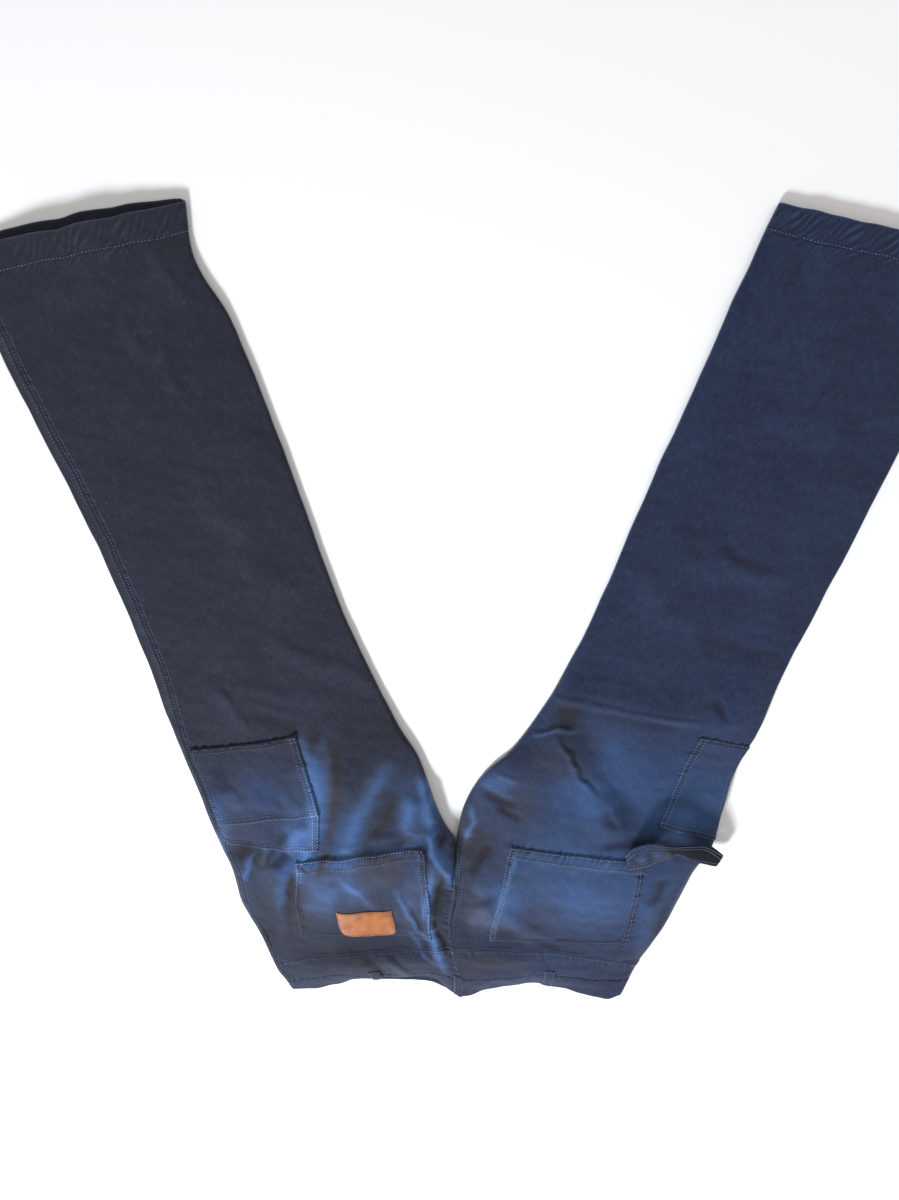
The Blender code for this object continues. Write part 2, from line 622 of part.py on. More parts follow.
def build_strap():
    """The hammer strap: a ribbon standing clear of the leg between its two sewn ends."""
    over_pocket = CLOTH / 2 + SEAM_GAP + CLOTH + STRAP_REST + STRAP_CLOTH / 2
    over_panel = CLOTH / 2 + STRAP_REST + STRAP_CLOTH / 2
    stations = [strap_seat(STRAP_START, over_pocket)]
    for row in STRAP:
        hems, waist = np.array(row[1:4]), np.array(row[4:7])
        middle = (hems + waist) / 2 + np.array([0.0, 0.0, STRAP_ARCH])
        stations.append(np.concatenate([hems, middle, waist]))
    stations.append(strap_seat(STRAP_END, over_panel))
    stations = np.array(stations)
    at = np.linspace(0.0, len(stations) - 1.0, 2 * len(stations) - 1)
    curve = np.stack([spline(stations[:, k], at) for k in range(9)], axis=1)
    points = curve.reshape(len(at), 3, 3)
    along = np.gradient(points, axis=0)
    width = np.broadcast_to(points[:, :1] - points[:, 2:], along.shape)
    normals = np.cross(along, width)
    normals /= np.linalg.norm(normals, axis=-1, keepdims=True)
    add_sheet("hammer_strap", "denim_double", Grid(points, normals), -STRAP_CLOTH / 2, STRAP_CLOTH / 2)


def build_button():
    """The fly button's head, under the lapped end of the waistband."""
    low, high = BUTTON_HEIGHTS
    body = bmesh.new()
    bmesh.ops.create_cone(
        body,
        cap_ends=True,
        segments=BUTTON_SIDES,
        radius1=BUTTON_RADIUS,
        radius2=BUTTON_RADIUS,
        depth=high - low,
        matrix=mathutils.Matrix.Translation((*BUTTON_CENTRE, (low + high) / 2)),
    )
    finish_piece("button", "button_brass", body)


def build_jeans():
    panels = {
        "right": build_half(RIGHT, RIGHT_ROWS),
        "left": build_half(LEFT, LEFT_ROWS),
    }
    band, columns = build_band(panels["right"]["places"], panels["left"]["places"])
    for name, side, layer, place, first_row in BELT_LOOPS:
        build_loop(name, side, layer, place, first_row, band, columns)
    for name, side, row0, row1, column0, column1, layers in SEWN_ON:
        piece = panels[side]["back"].part(range(row0, row1 + 1), range(column0, column1 + 1))
        lay_on(name, "denim_pocket", piece, layers)
    build_patch(panels["right"]["back"])
    build_strap()
    build_button()


build_jeans()
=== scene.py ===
import math

import bpy
import numpy as np
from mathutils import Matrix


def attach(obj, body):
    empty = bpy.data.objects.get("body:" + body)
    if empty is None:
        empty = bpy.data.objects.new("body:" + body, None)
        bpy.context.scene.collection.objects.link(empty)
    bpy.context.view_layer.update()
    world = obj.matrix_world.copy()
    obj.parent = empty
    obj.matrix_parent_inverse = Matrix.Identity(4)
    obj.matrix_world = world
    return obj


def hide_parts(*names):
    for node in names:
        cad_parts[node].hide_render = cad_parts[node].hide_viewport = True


# Carpenter jeans laid flat, back upwards: their looks. Metres, +Z up, the hems towards +Y. Right and left
# are the wearer's. Each half of the jeans is one flattened tube of cloth, evaluated here much finer than in
# the solids, with creases, puckers, sewing and weave. A place on the tube is (u, p): u counts the sections
# from the waist edge to the hem, and p runs from 0 at the outer edge to 1 at the inner edge over the top,
# and from 0 to -1 beneath.

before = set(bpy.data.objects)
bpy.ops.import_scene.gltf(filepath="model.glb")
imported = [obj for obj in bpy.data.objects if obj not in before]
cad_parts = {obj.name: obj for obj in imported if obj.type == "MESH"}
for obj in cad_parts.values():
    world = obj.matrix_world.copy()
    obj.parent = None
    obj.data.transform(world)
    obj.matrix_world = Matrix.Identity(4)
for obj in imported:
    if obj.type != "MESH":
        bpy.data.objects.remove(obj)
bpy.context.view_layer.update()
BODY = "root"

# Cloth and seams: how thick the single, the double and the strap's cloth is, and the gap at a seam; how far
# in the rolled edges reach, as a place across, and their radii; and how high the under layer lies, with what
# lifts it at the waist
CLOTH = 0.0012
DOUBLE_CLOTH = 0.0024
STRAP_CLOTH = 0.0016
SEAM_GAP = 0.0003
EDGE = 0.04
LEAST_EDGE_RADIUS = 0.0035
MOST_EDGE_RADIUS = 0.010
INNER_RADIUS = 0.0035
UNDER_REST = CLOTH / 2
WAIST_LIFT = 0.0033
OVERLAP_LIFT = DOUBLE_CLOTH + SEAM_GAP

# Section numbers of the band's seam and the crotch, and what the panels keep clear of at their ends, as
# section numbers and as a place across
BAND_SEAM, CROTCH = 1.0, 5.0
ROW_GAP = 0.003
BAND_GAP = 0.010
OUTSEAM_GAP = 0.0006

# How softly the rolled waistband bends at its middle
FOLD_SOFTNESS = 0.25

# From this section number the tube parts into a leg, and the waist's lift has faded this far below the band
LEG_START, LEG_SPAN = 4.0, 1.0
WAIST_FADE = 2.0

# Where the right half of the waist rises over the lapped end of the left, as places across
LAP_START, LAP_SPAN = 0.6, 0.24

# Sections of the right half: name, inner x y, outer x y, heights of the upper layer at outer, middle, inner
RIGHT_SECTIONS = [
    ("waist edge", -0.015, -0.477, -0.236, -0.469, 0.008, 0.011, 0.011),
    ("band seam", -0.015, -0.445, -0.244, -0.451, 0.011, 0.024, 0.022),
    ("yoke", -0.021, -0.412, -0.256, -0.429, 0.013, 0.029, 0.026),
    ("pocket", -0.029, -0.356, -0.273, -0.375, 0.017, 0.036, 0.030),
    ("seat", -0.023, -0.301, -0.293, -0.325, 0.020, 0.045, 0.028),
    ("crotch", -0.019, -0.240, -0.302, -0.276, 0.020, 0.046, 0.008),
    ("fork", -0.039, -0.203, -0.313, -0.246, 0.016, 0.036, 0.009),
    ("upper thigh", -0.063, -0.128, -0.326, -0.208, 0.012, 0.024, 0.009),
    ("thigh", -0.087, -0.085, -0.337, -0.168, 0.009, 0.016, 0.008),
    ("lower thigh", -0.125, 0.000, -0.363, -0.079, 0.007, 0.011, 0.007),
    ("above knee", -0.154, 0.074, -0.381, -0.003, 0.007, 0.008, 0.007),
    ("knee", -0.193, 0.200, -0.417, 0.122, 0.007, 0.0075, 0.007),
    ("shin", -0.224, 0.297, -0.451, 0.217, 0.007, 0.0075, 0.007),
    ("calf", -0.253, 0.378, -0.485, 0.307, 0.007, 0.008, 0.007),
    ("ankle", -0.286, 0.437, -0.513, 0.387, 0.007, 0.011, 0.007),
    ("hem", -0.290, 0.489, -0.530, 0.443, 0.007, 0.018, 0.008),
]

# Sections of the left half, which meets the right one along the inner points down to the crotch
LEFT_SECTIONS = [
    ("waist edge", -0.015, -0.477, 0.202, -0.477, 0.008, 0.011, 0.011),
    ("band seam", -0.015, -0.445, 0.211, -0.448, 0.011, 0.024, 0.022),
    ("yoke", -0.021, -0.412, 0.221, -0.424, 0.013, 0.029, 0.026),
    ("pocket", -0.029, -0.356, 0.247, -0.372, 0.017, 0.036, 0.030),
    ("seat", -0.023, -0.301, 0.266, -0.322, 0.020, 0.045, 0.028),
    ("crotch", -0.019, -0.240, 0.281, -0.280, 0.020, 0.046, 0.008),
    ("fork", -0.009, -0.190, 0.301, -0.250, 0.016, 0.036, 0.009),
    ("upper thigh", 0.017, -0.147, 0.307, -0.222, 0.012, 0.026, 0.009),
    ("thigh", 0.048, -0.117, 0.311, -0.196, 0.009, 0.018, 0.008),
    ("lower thigh", 0.083, -0.064, 0.323, -0.141, 0.007, 0.012, 0.007),
    ("above knee", 0.112, -0.006, 0.346, -0.089, 0.007, 0.009, 0.007),
    ("knee", 0.141, 0.062, 0.364, -0.024, 0.007, 0.0075, 0.007),
    ("shin", 0.189, 0.195, 0.413, 0.109, 0.007, 0.0075, 0.007),
    ("calf", 0.230, 0.302, 0.453, 0.220, 0.007, 0.0075, 0.007),
    ("ankle", 0.265, 0.397, 0.497, 0.344, 0.007, 0.0075, 0.007),
    ("hem", 0.302, 0.489, 0.531, 0.441, 0.007, 0.009, 0.007),
]

# How far the waistband strays towards the hems from a straight line: place across, then the distances at
# its free edge, its middle and its seam. On the right it is rolled under, so its edge lies behind.
WAIST_LINE = {
    "right": [
        (0.00, 0.000, 0.0000, 0.000),
        (0.15, 0.004, 0.0050, 0.008),
        (0.30, 0.015, 0.0140, 0.017),
        (0.45, 0.034, 0.0170, 0.017),
        (0.60, 0.043, 0.0190, 0.018),
        (0.83, 0.043, 0.0200, 0.020),
        (0.93, 0.012, 0.0100, 0.012),
        (1.00, 0.000, 0.0025, 0.005),
    ],
    "left": [
        (0.00, 0.000, 0.0000, 0.000),
        (0.08, -0.010, -0.0060, 0.000),
        (0.20, 0.000, 0.0010, 0.004),
        (0.35, 0.012, 0.0120, 0.012),
        (0.53, 0.022, 0.0190, 0.016),
        (0.70, 0.018, 0.0150, 0.011),
        (0.85, 0.010, 0.0090, 0.008),
        (0.93, 0.000, 0.0030, 0.006),
        (1.00, 0.000, 0.0025, 0.005),
    ],
}

# Large folds of the upper layer: name, start x y, end x y, height (negative for a hollow), half width
FOLDS = [
    ("crotch ridge", -0.058, -0.190, -0.046, -0.262, 0.009, 0.020),
    ("seam ridge", -0.046, -0.262, -0.062, -0.345, 0.008, 0.020),
    ("yoke bulge right", -0.150, -0.400, -0.060, -0.400, 0.006, 0.022),
    ("yoke bulge left", 0.010, -0.395, 0.060, -0.398, 0.005, 0.022),
    ("left thigh ridge", 0.110, -0.105, 0.165, -0.200, 0.006, 0.022),
    ("left thigh hollow", 0.140, -0.090, 0.195, -0.185, -0.004, 0.022),
    ("left thigh cross fold", 0.095, -0.035, 0.310, -0.075, 0.004, 0.022),
]

# Rows of the back panels: name, steps to the next, section number at outer edge, middle, inner edge,
# then the places across of three lines that run down the panel
RIGHT_ROWS = [
    ("yoke seam", 2, 2.05, 2.50, 2.35, 0.24, 0.486, 0.90),
    ("back pocket opening", 8, 2.95, 3.15, 2.70, 0.245, 0.46, 0.89),
    ("back pocket end", 1, 5.35, 5.40, 5.00, 0.327, 0.49, 0.845),
    ("tool pocket opening", 2, 6.20, 5.72, 5.45, 0.29, 0.44, 0.83),
    ("small tool pocket opening", 6, 6.80, 6.56, 6.30, 0.28, 0.50, 0.80),
    ("tool pocket end", 17, 8.63, 8.38, 8.30, 0.28, 0.545, 0.80),
    ("hem turn", 1, 14.45, 14.48, 14.48, 0.28, 0.52, 0.76),
    ("hem inside turn", 1, 14.52, 14.54, 14.54, 0.28, 0.52, 0.76),
    ("hem edge", 0, 15.0, 15.0, 15.0, 0.28, 0.52, 0.76),
]
LEFT_ROWS = [
    ("yoke seam", 2, 1.90, 2.45, 2.35, 0.17, 0.44, 0.80),
    ("back pocket opening", 8, 2.70, 2.88, 2.70, 0.165, 0.48, 0.79),
    ("back pocket end", 3, 5.25, 5.45, 5.00, 0.258, 0.50, 0.765),
    ("left tool pocket opening", 6, 6.42, 6.85, 6.60, 0.27, 0.52, 0.77),
    ("left tool pocket end", 16, 9.60, 9.42, 9.35, 0.265, 0.52, 0.76),
    ("hem turn", 1, 14.72, 14.72, 14.72, 0.28, 0.52, 0.76),
    ("hem inside turn", 1, 14.75, 14.75, 14.75, 0.28, 0.52, 0.76),
    ("hem edge", 0, 15.0, 15.0, 15.0, 0.28, 0.52, 0.76),
]

# How many columns lie between the lines that run down a back panel, and how many rows make a yoke
COLUMN_STEPS = (3, 3, 5, 1)
YOKE_STEPS = 2

# The outseam of the right leg is turned onto the upper layer: section number, place across
RIGHT_OUTSEAM = [
    (0.0, 0.05),
    (5.5, 0.05),
    (7.0, 0.066),
    (8.6, 0.072),
    (9.5, 0.10),
    (11.0, 0.10),
    (15.0, 0.09),
]

# The columns of the under layer as places across, how far the waistband's ends lap, and how far the right
# leg's front hem lies past its back one
UNDER_COLUMNS = (0.02, 0.04, 0.35, 0.60, 0.84, 0.98, 1.0)
BAND_LAP = 0.032
HEM_SLIP, HEM_SLIP_ASIDE = 0.012, 0.2
HEM_SLIP_ROWS = 3

# Belt loops: name, half, on the upper layer (1) or beneath (-1), place across, first row on the band, and
# the section number of the sewn foot
BELT_LOOPS = [
    ("belt_loop_back_right", "right", 1, 0.527, 1.04, 1.45),
    ("belt_loop_back_centre", "right", 1, 1.0, 0.04, 1.2),
    ("belt_loop_back_left", "left", 1, 0.476, 0.04, 1.4),
    ("belt_loop_front_right", "right", -1, 0.475, 0.04, 1.2),
    ("belt_loop_front_left", "left", -1, 0.475, 0.04, 1.2),
]
LOOP_HALF_WIDTH = 0.0295

# Pockets on the back panels, by the panel's rows and columns: name, half, first and last row, first and last
# column, pockets already beneath
SEWN_ON = [
    ("back_pocket_right", "right", 2, 10, 3, 11, 0),
    ("back_pocket_left", "left", 2, 10, 5, 13, 0),
    ("tool_pocket_right", "right", 11, 19, 0, 6, 0),
    ("tool_pocket_right_small", "right", 13, 19, 0, 6, 1),
    ("tool_pocket_left", "left", 13, 19, 1, 5, 0),
]

# The leather patch on the right back panel: row at its corners, row between them, first and last column
PATCH = [
    (2.35, 1.93, 6.05, 8.85),
    (2.60, 2.20, 5.90, 9.05),
    (3.20, 3.10, 5.83, 9.03),
    (4.00, 3.85, 5.78, 8.95),
    (4.85, 4.62, 5.73, 8.87),
]
PATCH_COLUMNS = (7.0, 8.0)

# The hammer strap: x y z of the edge towards the hems, then of the edge towards the waist. Its two sewn ends
# are spots on the left half, and it rests this far above the cloth there. Its middle is arched a little.
STRAP = [
    ("rise", 0.192, -0.226, 0.0500, 0.209, -0.251, 0.0500),
    ("crest", 0.209, -0.215, 0.0560, 0.219, -0.246, 0.0500),
    ("turn", 0.227, -0.216, 0.0570, 0.238, -0.243, 0.0440),
    ("neck", 0.241, -0.220, 0.0530, 0.252, -0.243, 0.0360),
    ("fall", 0.263, -0.225, 0.0440, 0.271, -0.255, 0.0310),
    ("spread", 0.286, -0.231, 0.0350, 0.289, -0.263, 0.0260),
    ("overhang", 0.314, -0.254, 0.0200, 0.307, -0.271, 0.0180),
]
STRAP_START = ((5.52, 0.335), (5.05, 0.320))
STRAP_END = ((6.10, 0.0), (5.62, 0.0))
STRAP_REST = 0.0004
STRAP_ARCH = 0.001

# The strap's neck, where its inner face turns up: how far across it starts, as x and a share of y, and how
# long the change to the inner face's painted shade takes
STRAP_NECK, STRAP_NECK_SLANT, STRAP_NECK_SPAN = 0.115, 0.5, 0.016

# The button head: its centre in plan, its radius, and the heights of its lower and upper side
BUTTON_CENTRE = (-0.030, -0.461)
BUTTON_RADIUS = 0.0085
BUTTON_HEIGHTS = (0.0003, 0.0023)


def ease(value):
    """0 below 0, 1 above 1, and a soft S between."""
    t = np.clip(value, 0.0, 1.0)
    return t * t * (3.0 - 2.0 * t)


def spline(values, at):
    """A smooth curve through values given at 0, 1, 2 and so on."""
    slopes = np.gradient(values)
    low = np.clip(np.floor(at).astype(int), 0, len(values) - 2)
    t = at - low
    rise = values[low + 1] - values[low]
    bend_start = slopes[low] - rise
    bend_end = slopes[low + 1] - rise
    return values[low] + rise * t + t * (1 - t) * (bend_start * (1 - t) - bend_end * t)


def cornered_spline(values, at):
    """A smooth curve that may turn sharply at the crotch."""
    split = int(CROTCH)
    seat = spline(values[: split + 1], np.minimum(at, CROTCH))
    leg = spline(values[split:], np.maximum(at, CROTCH) - CROTCH)
    return np.where(at <= CROTCH, seat, leg)


def smooth_line(at, places, values):
    """A straight-line reading of a table with its corners softened."""
    return np.mean([np.interp(at + shift, places, values) for shift in (-0.03, -0.01, 0.01, 0.03)], axis=0)


def soft_ramp(t):
    """0 well below 0 and t well above, turning softly between."""
    return (t + np.sqrt(t * t + FOLD_SOFTNESS**2)) / 2


def along_segment(x, y, x0, y0, x1, y1):
    """For places in plan: how far along a segment the nearest spot is (0 to 1), and the distance to it."""
    length = (x1 - x0) ** 2 + (y1 - y0) ** 2
    t = np.clip(((x - x0) * (x1 - x0) + (y - y0) * (y1 - y0)) / length, 0.0, 1.0)
    return t, np.hypot(x - x0 - t * (x1 - x0), y - y0 - t * (y1 - y0))


def fold_height(x, y):
    """What the large folds add to the upper layer's height at a place."""
    total = np.zeros_like(x)
    for _, x0, y0, x1, y1, height, half_width in FOLDS:
        _, away = along_segment(x, y, x0, y0, x1, y1)
        total += height * np.exp(-((away / half_width) ** 2))
    return total


class Half:
    """One half of the jeans as a flattened tube."""

    def __init__(self, sections, side):
        self.table = np.array([row[1:] for row in sections])
        self.side = side

    def row(self, u):
        curves = (cornered_spline, cornered_spline, spline, spline, spline, spline, cornered_spline)
        return [curve(self.table[:, k], u) for k, curve in enumerate(curves)]

    def waist_shift(self, u, c, over):
        """How far a place near the waist strays towards the hems."""
        places, edge, middle, seam = (np.array(column) for column in zip(*WAIST_LINE[self.side]))
        at_middle = smooth_line(c, places, middle)
        at_edge = np.where(over, smooth_line(c, places, edge), at_middle)
        at_seam = smooth_line(c, places, seam)
        fold = 2.0 * u - 1.0
        band = at_middle + (at_seam - at_middle) * soft_ramp(fold)
        band = band + (at_edge - at_middle) * soft_ramp(-fold)
        return np.where(u < BAND_SEAM, band, at_seam * (1.0 - ease((u - BAND_SEAM) / WAIST_FADE)))

    def rest(self, u, q):
        """The height of the under layer, lifted at the waist by the button and loops beneath it."""
        waist = 1.0 - ease((u - BAND_SEAM) / WAIST_FADE)
        height = UNDER_REST + WAIST_LIFT * waist
        if self.side == "right":
            height = height + OVERLAP_LIFT * waist * ease((q - LAP_START) / LAP_SPAN)
        return height

    def point(self, u, p):
        u, p = np.broadcast_arrays(np.asarray(u, float), np.asarray(p, float))
        inner_x, inner_y, outer_x, outer_y, outer_h, middle_h, inner_h = self.row(u)
        over = p >= 0
        q = np.abs(p)
        turn = np.clip(q / EDGE, 0.0, 1.0) * np.pi / 2
        back = np.clip((1.0 - q) / EDGE, 0.0, 1.0) * np.pi / 2
        leg = ease((u - LEG_START) / LEG_SPAN)
        wide = np.hypot(inner_x - outer_x, inner_y - outer_y)
        inset = SEAM_GAP / 2 + CLOTH * leg
        outer_radius = np.clip(outer_h / 2, LEAST_EDGE_RADIUS, MOST_EDGE_RADIUS)
        run = wide - inset - outer_radius - INNER_RADIUS
        flat = np.clip((q - EDGE) / (1.0 - 2.0 * EDGE), 0.0, 1.0)
        across = outer_radius * (1 - np.cos(turn)) + run * flat + INNER_RADIUS * np.cos(back)
        c = across / wide
        x = outer_x + (inner_x - outer_x) * c
        y = outer_y + (inner_y - outer_y) * c + self.waist_shift(u, c, over)
        side_h = np.where(c < 0.5, outer_h, inner_h)
        height = side_h + (middle_h - side_h) * np.sin(np.pi * c)
        height = height + fold_height(x, y) * np.sin(turn) * (1 - leg * (1 - np.sin(back)))
        rest = self.rest(u, q)
        gap = np.where(over, SEAM_GAP / 2, -SEAM_GAP / 2)
        outer_tip = (outer_h + rest) / 2 + gap
        inner_tip = (inner_h + rest) / 2 + gap
        level = np.where(over, height, rest)
        near_outer = outer_tip + (level - outer_tip) * np.sin(turn)
        near_inner = level + (inner_tip - level) * leg * (1 - np.sin(back))
        z = np.where(q < 0.5, near_outer, near_inner)
        return np.stack([x, y, z], axis=-1)


RIGHT = Half(RIGHT_SECTIONS, "right")
LEFT = Half(LEFT_SECTIONS, "left")
HALVES = {"right": RIGHT, "left": LEFT}


def fill_rows(table):
    """Every row of a back panel: section numbers at outer, middle and inner, and the three places."""
    rows = []
    for row, after in zip(table, table[1:]):
        start, end = np.array(row[2:]), np.array(after[2:])
        for k in range(row[1]):
            rows.append(start + (end - start) * k / row[1])
    rows.append(np.array(table[-1][2:]))
    return np.array(rows)


def section_numbers(rows, q):
    """Section numbers along a row that bends through its outer, middle and inner values."""
    outer, middle, inner = (rows[:, k][:, None] for k in range(3))
    bend = 4.0 * (middle - (outer + inner) / 2.0)
    return outer + (inner - outer) * q + bend * q * (1.0 - q)


def column_places(half, seam, rows):
    """The places across of every column, one row for each row of the panel."""
    places = []
    if half.side == "left":
        places = [seam, np.full(len(rows), EDGE / 2)]
        seam = np.full(len(rows), EDGE)
    stops = [seam] + [rows[:, k] for k in (3, 4, 5)] + [np.full(len(rows), 1.0 - EDGE)]
    for start, end, steps in zip(stops, stops[1:], COLUMN_STEPS):
        for k in range(steps):
            places.append(start + (end - start) * k / steps)
    places += [np.full(len(rows), value) for value in (1.0 - EDGE, 1.0 - EDGE / 2, 1.0)]
    return np.stack(places, axis=1)


def outseam(half, u):
    """The place across of the outseam: in from the edge on the right leg, at the edge on the left."""
    if half.side == "left":
        return np.zeros_like(u)
    numbers, places = zip(*RIGHT_OUTSEAM)
    return np.interp(u, numbers, places)


class Panel:
    """A panel's layout: section numbers and places across, at its rows and columns."""

    def __init__(self, half, numbers, places):
        self.half = half
        self.numbers = numbers
        self.places = places

    def cut(self, rows, columns):
        picked = np.ix_(list(rows), list(columns))
        return Panel(self.half, self.numbers[picked], self.places[picked])

    def spot(self, rows, columns):
        """Section numbers and places at fractional row and column numbers."""
        return [between(field, rows, columns) for field in (self.numbers, self.places)]


def between(field, rows, columns):
    """A grid's values at fractional row and column numbers."""
    rows, columns = np.broadcast_arrays(np.asarray(rows, float), np.asarray(columns, float))
    r = np.clip(np.floor(rows).astype(int), 0, field.shape[0] - 2)
    c = np.clip(np.floor(columns).astype(int), 0, field.shape[1] - 2)
    a, b = rows - r, columns - c
    if field.ndim == 3:
        a, b = a[..., None], b[..., None]
    near = field[r, c] * (1 - b) + field[r, c + 1] * b
    far = field[r + 1, c] * (1 - b) + field[r + 1, c + 1] * b
    return near * (1 - a) + far * a


def lay_out(half, table):
    """The back panel, yoke and front panel of one half."""
    rows = fill_rows(table)
    half_gap = OUTSEAM_GAP if half.side == "right" else 0.0
    places = column_places(half, outseam(half, rows[:, 0]) + half_gap, rows)
    numbers = section_numbers(rows, places)
    numbers[0] += ROW_GAP
    back = Panel(half, numbers, places)

    top = rows[0]
    band = np.array([1.0, 1.0, 1.0, *top[3:]])
    yoke_rows = np.array([band + (top - band) * k / YOKE_STEPS for k in range(YOKE_STEPS + 1)])
    yoke_places = column_places(half, outseam(half, yoke_rows[:, 0]) + half_gap, yoke_rows)
    yoke_numbers = section_numbers(yoke_rows, yoke_places)
    yoke_numbers[0] += BAND_GAP
    yoke_numbers[-1] -= ROW_GAP
    yoke = Panel(half, yoke_numbers, yoke_places)

    front_rows = np.concatenate([yoke_rows[:-1], rows])
    count = len(front_rows)
    columns = []
    if half.side == "right":
        front_seam = outseam(half, front_rows[:, 0]) - half_gap
        columns += [front_seam, np.full(count, EDGE), np.full(count, EDGE / 2)]
    columns += [np.full(count, -1e-9)]
    columns += [np.full(count, -value) for value in UNDER_COLUMNS]
    front_places = np.stack(columns, axis=1)
    straight = front_rows.copy()
    straight[:, 1] = (straight[:, 0] + straight[:, 2]) / 2
    q = np.abs(front_places)
    bent, level = section_numbers(front_rows, q), section_numbers(straight, q)
    front_numbers = np.where(front_places > 0, bent, level)
    front_numbers[0] += BAND_GAP
    return {"back": back, "yoke": yoke, "front": Panel(half, front_numbers, front_places)}


PANELS = {"right": lay_out(RIGHT, RIGHT_ROWS), "left": lay_out(LEFT, LEFT_ROWS)}

# How finely the panels, the fronts and the rest are evaluated, the extra places near an edge, and how far in
# the edges are rounded
PANEL_STEP = 0.0026
FRONT_STEP = 0.0040
TRIM_STEP = 0.0017
EDGE_SAMPLES = (0.0004, 0.0010, 0.0018)
EDGE_ROUND = 0.0010
MM = 0.001

# Sewn lines and raised bands: how wide and deep a groove is, how softly a band rises, how wide its worn edge
# is and how softly a line stops, in metres; how far a line strays, as a share of its distance from the side;
# and how much the groove darkens and the edges fade the cloth
GROOVE_WIDTH, GROOVE_DEPTH = 0.0013, 0.0003
BAND_RISE, BAND_WEAR_WIDTH, STOP_SOFTNESS = 0.0016, 0.0012, 0.004
SEAM_WANDER, SEAM_WAVES = 0.025, ((1.0, 0.031), (0.6, 0.0117))
GROOVE_SHADE, BAND_WEAR = 0.34, 0.14
RIM_FADE, RIM_WIDTH, RIM_THICKNESS = 0.42, 0.0011, 0.35

# Uneven waves of the cloth: seed, how many, the longest and the shortest in metres, and the height
UPPER_WAVES = ((3, 26, 0.13, 0.035, 0.0011), (8, 24, 0.032, 0.012, 0.0004))
UNDER_WAVES = ((21, 20, 0.11, 0.03, 0.0012), (5, 16, 0.03, 0.012, 0.0004))
UNDER_WAVES_START = 0.0002
WANDER_WAVES = ((51, 18, 0.090, 0.024, 0.0018), (52, 18, 0.090, 0.024, 0.0018))
WANDER_AT_EDGE = 0.3
WASH_AND_LIGHT_WAVES = ((31, 12, 0.06, 0.02, 0.006), (32, 12, 0.06, 0.02, 0.006))
STREAK_WAVES = (41, 10, 0.03, 0.01, 0.0012)
STRAP_WAVES = (61, 10, 0.02, 0.006, 0.10)

# A crease's ends overrun it and taper by these shares of its length. The dip beside it lies towards a
# direction in plan, at a place and with a width that are shares of the crease's half width.
CREASE_OVERRUN, CREASE_TAPER = 0.15, 0.35
DIP_DIRECTION = (0.52, 0.85)
DIP_PLACE, DIP_WIDTH, DIP_DEPTH = 1.25, 0.5, 0.4

